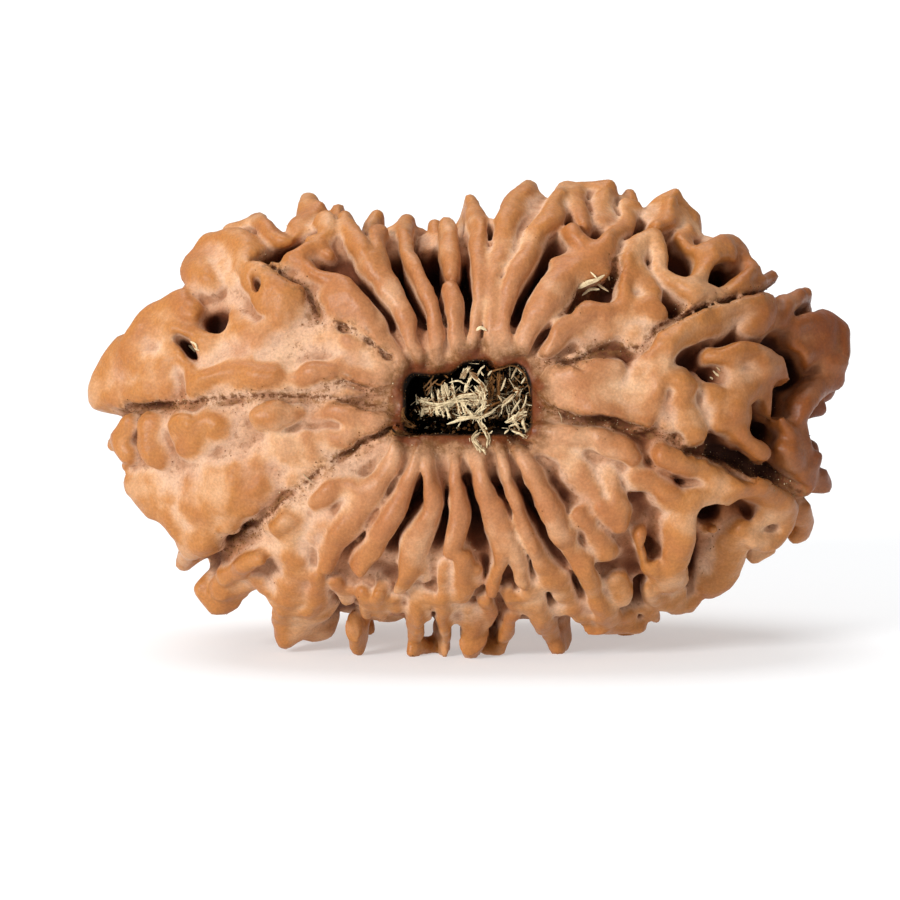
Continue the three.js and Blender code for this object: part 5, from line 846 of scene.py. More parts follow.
class Line:
    """A line in space with a radius at each point and the way into the body there."""

    def __init__(self, at, radius, inward):
        self.at = np.asarray(at, float)
        self.radius = np.asarray(radius, float)
        self.inward = np.asarray(inward, float)

    def on_back(self):
        mirror = np.array([1, -1, 1])
        return Line(self.at * mirror, self.radius, self.inward * mirror)


def on_crest(points, rim_share=FRONT_RIM):
    """Puts a line of the face on the crest surface, each half width deeper so that its top touches it."""
    x, z, radius, sink = smooth_line(points).T
    radius = radius * (1 + wobble_at(RIDGE_SWELL, x, 0, z))
    sink = sink + wobble_at(RIDGE_RISE, x, 0, z)
    at = np.stack((x, crest_y(x, z, rim_share) + radius + sink, z), axis=1)
    return Line(at, radius, inward_at(at))


def wall(line, i, deep, widen):
    """The distance to a rounded wall that hangs from stretch i of the line, down to `deep`."""
    start = line.at[i]
    along = line.at[i + 1] - start
    length = max(float(np.linalg.norm(along)), 1e-4)
    along = along / length
    down = line.inward[i] + line.inward[i + 1]
    down = down - along * float(down @ along)
    down = down / np.linalg.norm(down)
    grow = line.radius[i + 1] - line.radius[i]

    def distance(x, y, z):
        px, py, pz = (v - np.float32(s) for v, s in zip((x, y, z), start))
        ax, ay, az = (np.float32(v) for v in along)
        dx, dy, dz = (np.float32(v) for v in down)
        t = np.clip((px * ax + py * ay + pz * az) / np.float32(length), 0, 1)
        s = np.clip(px * dx + py * dy + pz * dz, 0, np.float32(deep))
        far = t * np.float32(length)
        gap = (px - far * ax - s * dx) ** 2 + (py - far * ay - s * dy) ** 2 + (pz - far * az - s * dz) ** 2
        radius = (np.float32(line.radius[i]) + np.float32(grow) * t) * (1 + np.float32(widen) * s)
        return np.sqrt(gap) - radius

    return distance


class Field:
    """Samples of a solid's distance field over a box of space, in mm: below zero is inside."""

    def __init__(self, low, high, cell):
        self.low = np.array(low)
        self.cell = cell
        counts = [math.ceil((b - a) / cell) + 1 for a, b in zip(low, high)]
        axes = [(a + cell * np.arange(n)).astype(np.float32) for a, n in zip(low, counts)]
        self.straight = np.meshgrid(*axes, indexing="ij")
        self.at = self.straight
        self.values = np.full(counts, FAR, np.float32)

    def slices(self, low, high):
        start = np.maximum(np.floor((low - self.low) / self.cell).astype(int), 0)
        end = np.minimum(np.ceil((high - self.low) / self.cell).astype(int) + 1, self.values.shape)
        return tuple(slice(a, max(b, a)) for a, b in zip(start, end))

    def sweep(self, line, deep, widen, fillet, cut=False):
        """Adds a line's wall, or cuts it out."""
        reach = line.radius.max() * (1 + widen * deep) + fillet + SPARE
        ends = np.stack((line.at, line.at + line.inward * deep))
        whole = self.slices(ends.min((0, 1)) - reach, ends.max((0, 1)) + reach)
        values = self.values[whole]
        nearest = np.full(values.shape, FAR, np.float32)
        for i in range(len(line.at) - 1):
            stretch = ends[:, i : i + 2]
            part = self.slices(stretch.min((0, 1)) - reach, stretch.max((0, 1)) + reach)
            local = tuple(slice(p.start - w.start, p.stop - w.start) for p, w in zip(part, whole))
            distance = wall(line, i, deep, widen)(*(axis[part] for axis in self.at))
            nearest[local] = np.minimum(nearest[local], distance)
        if cut:
            self.values[whole] = smooth_max(values, -nearest, fillet)
        else:
            self.values[whole] = smooth_min(values, nearest, fillet)

    def pit(self, pit, back):
        """Cuts an oval pit into the face: [x, z, half sizes, turn in degrees, depth]."""
        x, z, half_u, half_v, turn, depth = pit
        at = np.array([[x, crest_y(x, z), z]], float)
        inward = inward_at(at)[0] + np.array([0, PIT_STRAIGHT, 0])
        inward /= np.linalg.norm(inward)
        at = at[0]
        if back:
            at[1] *= -1
            inward[1] *= -1
        at = at + inward * depth * PIT_MIDDLE
        angle = math.radians(turn)
        u = np.array([math.cos(angle), 0, math.sin(angle)])
        u = u - inward * float(u @ inward)
        u = u / np.linalg.norm(u)
        v = np.cross(inward, u)
        reach = max(half_u, half_v, depth) * PIT_MARGIN + PIT_FILLET
        part = self.slices(at - reach, at + reach)
        px, py, pz = (axis[part] - np.float32(s) for axis, s in zip(self.at, at))
        q = np.zeros(px.shape, np.float32)
        for way, half in ((u, half_u), (v, half_v), (inward, depth * PIT_HALF_DEPTH)):
            q += ((px * way[0] + py * way[1] + pz * way[2]) / half) ** 2
        hollow = (np.sqrt(q) - 1) * min(half_u, half_v)
        self.values[part] = smooth_max(self.values[part], -hollow.astype(np.float32), PIT_FILLET)


def bend_space(field):
    """Bends the space of the shapes, for uneven, grown forms."""
    x, y, z = field.straight
    calm = 1 - BEND_CALM * fin_zone(x, z)
    bent = []
    for axis, straight in enumerate(field.straight):
        waves = [[height, length, seed + axis] for height, length, seed in BENDS]
        bent.append((straight + calm * wobble_at(waves, x, y, z)).astype(np.float32))
    field.at = bent


def add_skin(field):
    """The fleshy skin under the ridges."""
    x, y, z = field.at

    def form(x, y, z):
        share = outline_share(x, z)
        thick = np.abs(y) / HALF_THICKNESS
        return (share ** ROUNDNESS + thick ** ROUNDNESS) ** (1 / ROUNDNESS)

    step = 0.05
    rise_x = form(x + step, y, z) - form(x - step, y, z)
    rise_y = form(x, y + step, z) - form(x, y - step, z)
    rise_z = form(x, y, z + step) - form(x, y, z - step)
    slope = np.sqrt(rise_x ** 2 + rise_y ** 2 + rise_z ** 2) / (2 * step)
    lumps = wobble_at(SKIN_WAVES, x, y, z) * (1 - SKIN_CALM * fin_zone(x, z))
    sunk = dimple(x, z) * np.clip(np.abs(y) / DIMPLE_REACH, 0, 1)
    field.depth = ((form(x, y, z) - 1) / (slope + 1e-6) + sunk).astype(np.float32)
    field.values = (field.depth + valley_depth(x, y, z) + lumps).astype(np.float32)


def back_ridge(points, index):
    """The same ridge redrawn for the back: nudged, a little smaller."""
    ridge = []
    for i, (x, z, radius, *sink) in enumerate(points):
        nudge_x = BACK_JITTER * (draw(index * 31 + i * 7 + 1) - 0.5)
        nudge_z = BACK_JITTER * (draw(index * 31 + i * 7 + 2) - 0.5)
        ridge.append([x * BACK_X + nudge_x, z * BACK_Z + nudge_z, radius * BACK_WIDEN, *sink])
    return ridge


def widened(ridges, share):
    """The same ridges with wider walls, rounded to a hundredth of a millimetre."""
    return [[[x, z, round(width * share, 2), *sink] for x, z, width, *sink in ridge] for ridge in ridges]


def add_ridges(field, ridges, kind, first_index):
    """Ridges on the front, and most of them again on the back."""
    for index, points in enumerate(ridges, first_index):
        field.sweep(on_crest(points), **kind)
        if draw(index) > BACK_SKIP and min(z for _, z, *_ in points) > SPINE_LEVEL:
            field.sweep(on_crest(back_ridge(points, index), BACK_RIM).on_back(), **kind)


def rim_ridge(x, z, radius, sink, dip, seed_index):
    """A ridge over the rim, `sink` deep at its ends and `dip` deeper halfway."""
    lean = RIM_LEAN * (draw(seed_index) - 0.5)
    at = []
    depths = []
    for t in RIM_STEPS:
        back = (t + 1) / 2
        px = x * (1 + (BACK_X - 1) * back) - lean * t * z
        pz = z * (1 + (BACK_Z - 1) * back) + lean * t * x
        at.append([px, RIM_REACH * t, pz])
        uneven = RIM_DIP_LEAST + RIM_DIP_SPREAD * draw(seed_index + t + 9)
        depths.append(sink + dip * (1 - t * t) * uneven + radius)
    at = np.array(at, float)
    inward = inward_at(at)
    return Line(at + inward * np.array(depths)[:, None], np.full(len(at), radius), inward)


def add_rim_ridges(field, ridges):
    for i in range(LOW_RIDGES):
        angle = 2 * math.pi * (i + LOW_JITTER * draw(i + 500)) / LOW_RIDGES
        share = 1 / float(outline_share(math.cos(angle), math.sin(angle)))
        radius = LOW_WIDTH + LOW_WIDTH_SPREAD * draw(i + 700)
        line = rim_ridge(share * math.cos(angle), share * math.sin(angle), radius, LOW_SINK, 0, i + 800)
        field.sweep(line, **OVER_RIM)
    for i, points in enumerate(ridges):
        x, z, radius, *_ = max(points, key=lambda p: outline_share(p[0], p[1]))
        if outline_share(x, z) >= RIM_SHARE and z > SPINE_LEVEL:
            line = rim_ridge(x, z, RIM_WIDTH * radius, RIM_SINK, RIM_DIP, i + 300)
            field.sweep(line, **OVER_RIM)


def add_back_feet(field):
    """Short spines at the back of the lower rim, just long enough to reach the floor."""
    for x, y in BACK_FEET:
        tip = (FOOT_LEVEL - FOOT_SPARE + y * math.sin(-LEAN)) / math.cos(LEAN)
        inward = inward_at(np.array([[x, y, tip]]))[0]
        at = []
        radii = []
        for up, radius in BACK_FOOT_WIDTHS:
            at.append([x * (1 - BACK_FOOT_TAPER * up), y, tip + radius + up])
            radii.append(radius)
        field.sweep(Line(at, radii, [inward] * len(at)), **BACK_FOOT)


def cut_seams(field):
    for points in SEAMS:
        x, z, width, depth = smooth_line(points, SEAM_STEPS).T
        x, z = x + wobble_at(SEAM_WANDER_X, x, 0, z), z + wobble_at(SEAM_WANDER_Z, x, 0, z)
        depth = SEAM_DEPTH * depth + wobble_at(SEAM_RISE, x, 0, z)
        at = np.stack((x, crest_y(x, z), z), axis=1)
        inward = inward_at(at)
        width = np.maximum(SEAM_NARROW * width, NARROWEST_SEAM)
        line = Line(at + inward * depth[:, None], width, -inward)
        field.sweep(line, **CREVICE, cut=True)
        field.sweep(line.on_back(), **CREVICE, cut=True)


def cut_pits(field):
    for i, pit in enumerate(PITS):
        field.pit(pit, False)
        if draw(i + 900) > BACK_PIT_SKIP:
            field.pit(pit, True)


def hole_gap(x, z, half_x, half_z, opening=1.0):
    """Distance on the face to the edge of the hole, a box with round corners and an uneven top."""
    places, rises = np.array(MOUTH_TOP).T
    rise = np.where(z > HOLE_Z, np.interp(x, places, rises), 0) * opening
    u = np.abs(x - HOLE_X) - half_x + HOLE_CORNER
    v = np.abs(z - HOLE_Z) - half_z - rise + HOLE_CORNER
    return np.hypot(np.maximum(u, 0), np.maximum(v, 0)) + np.minimum(np.maximum(u, v), 0) - HOLE_CORNER


def cut_hole(field):
    """The hole from pole to pole: an oblong mouth on both faces, narrower in the middle."""
    x, y, z = field.at
    opening = np.clip(np.abs(y) / HOLE_FLARE, 0, 1)
    wave = wobble_at(HOLE_WAVES, x, y, z)
    half_x = HOLE_NECK_X + (HOLE_MOUTH_X - HOLE_NECK_X) * opening + wave
    half_z = HOLE_NECK_Z + (HOLE_MOUTH_Z - HOLE_NECK_Z) * opening + wave
    gap = hole_gap(x, z, half_x, half_z, opening)
    field.values = smooth_max(field.values, -gap, HOLE_FILLET)


def floor_height(y, z):
    """Height over the floor, in mm, of a point of the leaning face frame."""
    return y * math.sin(LEAN) + z * math.cos(LEAN) - FOOT_LEVEL


def seed_field():
    field = Field(SPACE_LOW, SPACE_HIGH, CELL)
    bend_space(field)
    add_skin(field)
    left = TOP_LEFT + BOTTOM_LEFT
    right = TOP_RIGHT + RIGHT + BOTTOM_RIGHT
    fins = widened(TOP_FINS, TOP_WIDER) + widened(BOTTOM_FINS, LOW_WIDER)
    add_rim_ridges(field, left + right + fins)
    add_back_feet(field)
    add_ridges(field, left, LEFT_LOBE, 0)
    add_ridges(field, right, RIGHT_LOBE, len(left))
    add_ridges(field, fins, FIN, FIRST_FIN)
    add_ridges(field, LOW_KNOBS, FIN, FIRST_KNOB)
    cut_seams(field)
    cut_pits(field)
    cut_hole(field)
    x, y, z = field.straight
    field.values += wobble_at(RELIEF, x, y, z)
    field.values = np.maximum(field.values, -floor_height(y, z)).astype(np.float32)
    return field


def window(axis, start, stop, step=None):
    """Slices that take start:stop:step along one axis and all of the others."""
    return tuple(slice(start, stop, step) if a == axis else slice(None) for a in range(3))


def close_pinches(field):
    """Fills samples where the surface would touch itself along an edge or at a corner of the cells."""
    values = field.values
    filled = -0.05 * field.cell
    changed = True
    while changed:
        changed = False
        for u, v in ((0, 1), (1, 2), (0, 2)):
            inside = values < 0
            near = [inside[window(u, None, -1)], inside[window(u, 1, None)]]
            a, b = near[0][window(v, None, -1)], near[1][window(v, None, -1)]
            d, c = near[0][window(v, 1, None)], near[1][window(v, 1, None)]
            odd = np.argwhere((a == c) & (b == d) & (a != b))
            changed = changed or len(odd) > 0
            step_u, step_v = np.eye(3, dtype=int)[[u, v]]
            for place in odd:
                corners = [place, place + step_u, place + step_u + step_v, place + step_v]
                first = 1 if values[tuple(corners[0])] < 0 else 0
                pair = [tuple(corners[first]), tuple(corners[first + 2])]
                values[min(pair, key=lambda corner: values[corner])] = filled
        inside = values < 0
        corners = {}
        for bits in range(8):
            view = inside
            for axis in range(3):
                on = bits >> axis & 1
                view = view[window(axis, 1, None) if on else window(axis, None, -1)]
            corners[bits] = view
        count = sum(view.astype(np.int8) for view in corners.values())
        for bits in range(4):
            twins = (count == 2) & corners[bits] & corners[7 - bits]
            gaps = (count == 6) & ~corners[bits] & ~corners[7 - bits]
            for places, corner in ((np.argwhere(twins), bits ^ 1), (np.argwhere(gaps), bits)):
                changed = changed or len(places) > 0
                offset = np.array([corner & 1, corner >> 1 & 1, corner >> 2 & 1])
                values[tuple((places + offset).T)] = filled


def surface_of(field):
    """One point in each cell that the surface crosses, and a square for each crossed edge of the grid."""
    close_pinches(field)
    values = field.values
    inside = values < 0
    strides = np.array([values.shape[1] * values.shape[2], values.shape[2], 1])
    rings = []
    points = []
    for axis in range(3):
        low, high = window(axis, None, -1), window(axis, 1, None)
        base = np.argwhere(inside[low] != inside[high])
        start = values[low][tuple(base.T)]
        end = values[high][tuple(base.T)]
        crossing = base.astype(float)
        crossing[:, axis] += np.clip(start / (start - end), 0.05, 0.95)
        u, v = strides[(axis + 1) % 3], strides[(axis + 2) % 3]
        index = base @ strides
        ring = np.stack((index, index - u, index - u - v, index - v), axis=1)
        closing = start >= 0
        ring[closing] = ring[closing, ::-1]
        rings.append(ring)
        points.append(np.repeat(crossing, 4, axis=0))
    rings = np.concatenate(rings)
    points = np.concatenate(points)
    cells, owner = np.unique(rings.ravel(), return_inverse=True)
    owner = owner.reshape(-1)
    count = np.bincount(owner)
    place = np.stack([np.bincount(owner, points[:, axis]) / count for axis in range(3)], axis=1)
    place = place * field.cell + field.low
    a, b, c, d = owner.reshape(-1, 4).T
    gap = np.linalg.norm(place[a] - place[c], axis=1) < np.linalg.norm(place[b] - place[d], axis=1)
    first = np.where(gap[:, None], np.stack((a, b, c), axis=1), np.stack((a, b, d), axis=1))
    second = np.where(gap[:, None], np.stack((a, c, d), axis=1), np.stack((b, c, d), axis=1))
    return largest_piece(place, np.concatenate((first, second)))


def largest_piece(points, faces):
    """Drops every crumb that isn't joined to the main surface."""
    label = np.arange(len(points))
    settled = False
    while not settled:
        lowest = label[faces].min(axis=1)
        new = label.copy()
        for corner in range(3):
            np.minimum.at(new, faces[:, corner], lowest)
        new = new[new]
        settled = bool((new == label).all())
        label = new
    main = np.bincount(label[faces[:, 0]]).argmax()
    faces = faces[label[faces[:, 0]] == main]
    kept, faces = np.unique(faces.ravel(), return_inverse=True)
    return points[kept], faces.reshape(-1, 3)


def sample(grid, low, cell, points):
    """Values of a grid between its samples."""
    place = np.clip((points - low) / cell, 0, np.array(grid.shape) - 1.001)
    base = place.astype(int)
    share = place - base
    total = np.zeros(len(points))
    for bits in range(8):
        on = np.array([bits & 1, bits >> 1 & 1, bits >> 2 & 1])
        weight = np.where(on, share, 1 - share).prod(axis=1)
        total += weight * grid[tuple((base + on).T)]
    return total


def halved(grid):
    """Means of blocks of two by two by two samples."""
    even = grid[tuple(slice(0, n // 2 * 2) for n in grid.shape)]
    for axis in range(3):
        even = 0.5 * (even[window(axis, 0, None, 2)] + even[window(axis, 1, None, 2)])
    return even


def blurred(grid, reach):
    """Box means of 2 reach + 1 samples along each axis, three times over, close to a Gaussian."""
    width = 2 * reach + 1
    for _ in range(3):
        for axis in range(3):
            pads = [(reach + 1, reach) if a == axis else (0, 0) for a in range(3)]
            total = np.cumsum(np.pad(grid, pads), axis=axis, dtype=np.float32)
            grid = (total[window(axis, width, None)] - total[window(axis, None, -width)]) / width
    return grid


class Fullness:
    """How much of the space round a point is solid: low on crests, high in crevices."""

    def __init__(self, field, reach):
        solid = np.clip(0.5 - field.values / field.cell, 0, 1)
        self.cell = 2 * field.cell
        self.low = field.low + 0.5 * field.cell
        self.grid = blurred(halved(solid), max(round(reach / self.cell), 1))

    def at(self, points):
        return sample(self.grid, self.low, self.cell, points)


def gradient_at(field, points):
    """The outward way of the distance field, for smooth shading."""
    step = 0.6 * field.cell
    ways = []
    for axis in range(3):
        shift = step * np.eye(3)[axis]
        ahead = sample(field.values, field.low, field.cell, points + shift)
        ways.append(ahead - sample(field.values, field.low, field.cell, points - shift))
    way = np.stack(ways, axis=1)
    return way / (np.linalg.norm(way, axis=1, keepdims=True) + 1e-9)


def mesh_object(name, points, faces):
    mesh = bpy.data.meshes.new(name)
    mesh.from_pydata(points.tolist(), [], [list(face) for face in faces])
    piece = bpy.data.objects.new(name, mesh)
    bpy.context.scene.collection.objects.link(piece)
    return piece


def points_of(mesh):
    flat = np.empty(3 * len(mesh.vertices), np.float32)
    mesh.vertices.foreach_get("co", flat)
    return flat.reshape(-1, 3).astype(float)


def thin_out(piece, triangles, care):
    """Merges edges until few enough triangles are left, and keeps more where care, 0 to 1, is high."""
    group = piece.vertex_groups.new(name="care")
    for level in range(CARE_LEVELS + 1):
        chosen = np.flatnonzero(np.round(care * CARE_LEVELS) == level)
        group.add(chosen.tolist(), level / CARE_LEVELS, "REPLACE")
    thin = piece.modifiers.new("thin", "DECIMATE")
    thin.ratio = triangles / len(piece.data.polygons)
    thin.vertex_group = group.name
    thin.invert_vertex_group = True
    thin.vertex_group_factor = CARE_FACTOR
    graph = bpy.context.evaluated_depsgraph_get()
    slim = bpy.data.meshes.new_from_object(piece.evaluated_get(graph))
    piece.modifiers.clear()
    piece.vertex_groups.clear()
    piece.data = slim


def store(mesh, name, values):
    layer = mesh.attributes.new(name, "FLOAT", "POINT")
    layer.data.foreach_set("value", np.asarray(values, np.float32))


def place_on_floor(points):
    """From the leaning face frame in mm to the seed's own place in metres."""
    x, y, z = points.T
    forward = y * math.cos(LEAN) - z * math.sin(LEAN)
    return MM * np.stack((x, forward, floor_height(y, z)), axis=1)


def gap_to_seams(points):
    """Distance on the face to the nearest seam, in mm."""
    flat = points[:, [0, 2]]
    best = np.full(len(points), FAR)
    for seam in SEAMS:
        path = smooth_line(seam)[:, :2]
        for a, b in zip(path, path[1:]):
            way = b - a
            t = np.clip((flat - a) @ way / (way @ way), 0, 1)
            best = np.minimum(best, np.linalg.norm(flat - a - t[:, None] * way, axis=1))
    return best


def gap_to_mouth(points):
    """Distance on the face to the edge of the hole's mouth, below zero within it."""
    return hole_gap(points[:, 0], points[:, 2], HOLE_MOUTH_X, HOLE_MOUTH_Z)


def make_seed(field):
    """The skin in its place, the shift that centres it and its points on the face with their normals."""
    points, faces = surface_of(field)
    skin = mesh_object("skin", points, faces)
    front = smooth_step(CARE_TURNS, -CARE_TURNS, points[:, 1])
    thin_out(skin, SKIN_TRIANGLES, BACK_CARE + (FRONT_CARE - BACK_CARE) * front)
    points = points_of(skin.data)
    store(skin.data, "crest", 0.5 - Fullness(field, FINE_REACH).at(points))
    store(skin.data, "cavity", Fullness(field, BROAD_REACH).at(points) - 0.5)
    store(skin.data, "depth", -sample(field.depth, field.low, field.cell, points))
    x, _, z = points.T
    store(skin.data, "slot", fin_zone(x, z))
    # How far right a point lies, for the painted shade of the right end and of its walls.
    store(skin.data, "right_shade_reach", x + END_SLANT * np.minimum(z - END_LEVEL, 0))
    store(skin.data, "seam_gap", gap_to_seams(points))
    store(skin.data, "mouth_gap", gap_to_mouth(points))
    normals = gradient_at(field, points)
    placed = place_on_floor(points)
    placed[placed[:, 2] < MM * ON_FLOOR, 2] = 0
    shift = -0.5 * (placed.min(0) + placed.max(0))
    shift[2] = 0
    skin.data.vertices.foreach_set("co", (placed + shift).ravel())
    turned = normals @ np.array(Matrix.Rotation(LEAN, 3, "X")).T
    skin.data.polygons.foreach_set("use_smooth", [True] * len(skin.data.polygons))
    skin.data.normals_split_custom_set_from_vertices(turned.tolist())
    skin.data.update()
    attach(skin, "root")
    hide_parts("seed")
    return skin, shift, points, normals


class Scraps:
    """Gathers many small closed bodies, each with its own tone, into one mesh."""

    def __init__(self):
        self.points = []
        self.faces = []
        self.tones = []

    def add(self, points, faces, tone):
        start = len(self.tones)
        self.points.append(points)
        self.faces += [[start + i for i in face] for face in faces]
        self.tones += [tone] * len(points)

    def strand(self, line, tone, sides=5):
        """A flat tapering blade along points [x, y, z, half width]."""
        at, width = line[:, :3], line[:, 3].copy()
        width[[0, -1]] *= BLADE_TIP
        along = np.gradient(at, axis=0)
        along /= np.linalg.norm(along, axis=1, keepdims=True)
        across = np.cross(along, BLADE_FACE)
        across /= np.linalg.norm(across, axis=1, keepdims=True)
        up = np.cross(across, along)
        turns = 2 * math.pi * np.arange(sides) / sides
        rings = [
            a + w * (math.cos(t) * s + BLADE_FLAT * math.sin(t) * u)
            for a, w, s, u in zip(at, width, across, up)
            for t in turns
        ]
        faces = [list(range(sides))[::-1], list(range(len(rings) - sides, len(rings)))]
        for i in range(len(at) - 1):
            for k in range(sides):
                a, b = i * sides + k, i * sides + (k + 1) % sides
                faces.append([a, b, b + sides, a + sides])
        self.add(np.array(rings), faces, tone)

    def crumb(self, at, size, tone, rng):
        """An uneven grain with eight faces."""
        axes = np.concatenate((np.eye(3), -np.eye(3))) * rng.uniform(*CRUMB_UNEVEN, (6, 1))
        turn, _ = np.linalg.qr(rng.normal(size=(3, 3)))
        faces = [[0, 1, 2], [1, 3, 2], [3, 4, 2], [4, 0, 2], [1, 0, 5], [3, 1, 5], [4, 3, 5], [0, 4, 5]]
        if np.linalg.det(turn) < 0:
            turn = -turn
        self.add(at + size * axes @ turn.T, faces, tone)

    def finish(self, name, shift):
        piece = mesh_object(name, place_on_floor(np.concatenate(self.points)) + shift, self.faces)
        store(piece.data, "tone", self.tones)
        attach(piece, "root")
        return piece


def add_bundle(scraps, line, tones, rng):
    """A thick strand drawn as many thin fibres side by side, some of them astray."""
    last = len(line) - 1
    for _ in range(round(BUNDLE_COUNT * line[:, 3].max())):
        start = rng.integers(0, last)
        end = rng.integers(start + 1, last + 1)
        at = line[start : end + 1, :3].copy()
        width = line[start : end + 1, 3].mean()
        at += width * rng.uniform(-1, 1, 3) * BUNDLE_FLAT
        at += np.linspace(-1, 1, len(at))[:, None] * width * rng.normal(0, BUNDLE_FRAY, 3)
        if rng.uniform() < LOOSE_ODDS:
            at[-1] = at[0] + rng.normal(0, LOOSE_LENGTH, 3)
            at = at[[0, -1]]
        half = np.full(len(at), rng.uniform(*FIBRE_WIDTHS))
        tone = rng.uniform(*tones) - DARK_STEP * (rng.uniform() < DARK_ODDS)
        scraps.strand(np.column_stack((at, half)), tone, sides=4)


def add_strands(scraps, rows, tones, rng, middle, field):
    """Strands at their depth in the hole, or on the skin where that lies in front of them."""
    for row in rows:
        x, z, width, y = smooth_line(row).T
        y = np.minimum(y, front_y(field, x, z) - middle[1] - STRAND_CLEAR * width)
        line = np.stack((x + middle[0], y + middle[1], z + middle[2], width), axis=1)
        line[:, :3] += rng.normal(0, CLUMP_SHAKE, (len(line), 3))
        if width.max() > BUNDLE_FROM:
            add_bundle(scraps, line, tones, rng)
        else:
            scraps.strand(line, rng.uniform(*tones))


def add_shade_bed(scraps, rng):
    """A lumpy near-black mass that closes the hole behind the fibres: painted shade deep in the hole."""
    shape = bmesh.new()
    bmesh.ops.create_icosphere(shape, subdivisions=4, radius=1)
    unit = np.array([v.co for v in shape.verts])
    faces = [[v.index for v in face.verts] for face in shape.faces]
    shape.free()
    square = np.sign(unit) * np.abs(unit) ** BED_SQUARE
    points = square * BED_HALF + BED_AT
    rise = wobble_at(BED_WAVES, *points.T) + BED_GRIT * rng.normal(size=len(points))
    scraps.add(points + unit * (BED_LUMP * rise)[:, None], faces, BED_SHADE_TONE)


def spot_in(rng, odds, at_right, elsewhere):
    """A random place in one of two boxes, each given by its spans along x, y and z."""
    box = at_right if rng.uniform() < odds else elsewhere
    spot = {axis: rng.uniform(*span) for axis, span in box.items()}
    return np.array([spot[axis] for axis in "xyz"])


def add_crumb_heap(scraps, rng):
    """Dark and brown crumbs at the right and along the foot of the mouth, with slivers among them."""
    for _ in range(MOUTH_CRUMBS):
        spot = spot_in(rng, MOUTH_CRUMBS_RIGHT, CRUMBS_AT_RIGHT, CRUMBS_AT_FOOT)
        tone = rng.choice(MOUTH_CRUMB_TONES, p=MOUTH_CRUMB_ODDS)
        scraps.crumb(spot, rng.uniform(*MOUTH_CRUMB_SIZES), tone, rng)
    for _ in range(MOUTH_SLIVERS):
        middle = spot_in(rng, SLIVERS_RIGHT, SLIVERS_AT_RIGHT, SLIVERS_AT_LEFT)
        way = rng.normal(size=3) * SLIVER_FLAT
        way *= rng.uniform(*SLIVER_REACH) / np.linalg.norm(way)
        bend = rng.normal(0, SLIVER_BEND, 3)
        at = [middle - way, middle + bend, middle + way]
        line = np.column_stack((at, [rng.uniform(*SLIVER_WIDTHS)] * 3))
        scraps.strand(line, rng.choice(SLIVER_TONES), sides=4)


def front_y(field, x, z):
    """Where the skin lies over places of the face: y of its foremost point, far back where it is open."""
    y = np.arange(*SEARCH_Y)
    places = np.stack(np.broadcast_arrays(x[:, None], y[None, :], z[:, None]), axis=-1)
    values = sample(field.values, field.low, field.cell, places.reshape(-1, 3)).reshape(len(x), len(y))
    solid = values < 0
    return np.where(solid.any(axis=1), y[np.argmax(solid, axis=1)], FAR)


def make_clump(field, shift):
    rng = np.random.default_rng(7)
    scraps = Scraps()
    add_shade_bed(scraps, rng)
    add_crumb_heap(scraps, rng)
    for rows, tones in ((CREAM, CREAM_TONES), (DULL, DULL_TONES), (PALE, PALE_TONES)):
        add_strands(scraps, rows, tones, rng, CLUMP_AT, field)
    clump = scraps.finish("clump", shift)
    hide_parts("core_fibres")
    return clump


def make_debris(field, shift, points, normals):
    """Crumbs along the seams and the mouth, and the bits of straw caught in the crevices."""
    rng = np.random.default_rng(11)
    scraps = Scraps()
    near_seam = np.exp(-((gap_to_seams(points) / SEAM_REACH) ** 2))
    near_mouth = np.exp(-((np.maximum(gap_to_mouth(points), 0) / MOUTH_REACH) ** 2))
    hollow = smooth_step(HOLLOW_FROM, HOLLOW_TO, Fullness(field, BROAD_REACH).at(points) - 0.5)
    weight = (OPEN_CRUMBS + hollow) * (SEAM_CRUMBS * near_seam + near_mouth)
    weight = weight + HOLLOW_CRUMBS * hollow + STRAY_CRUMBS
    weight *= (points[:, 1] < DIRT_FRONT) & (gap_to_mouth(points) > DIRT_IN_MOUTH)
    for i in rng.choice(len(points), SKIN_CRUMBS, p=weight / weight.sum()):
        size = rng.uniform(*CRUMB_SIZES)
        spot = points[i] + normals[i] * CRUMB_LIFT * size
        scraps.crumb(spot, size, rng.choice(CRUMB_TONES, p=CRUMB_ODDS), rng)
    for row in STRAY:
        x, z, width, rise = smooth_line(row).T
        ground = np.median(front_y(field, x, z))
        line = np.stack((x, ground - rise, z, width), axis=1)
        scraps.strand(line, rng.uniform(*STRAY_TONES))
    return scraps.finish("debris", shift)


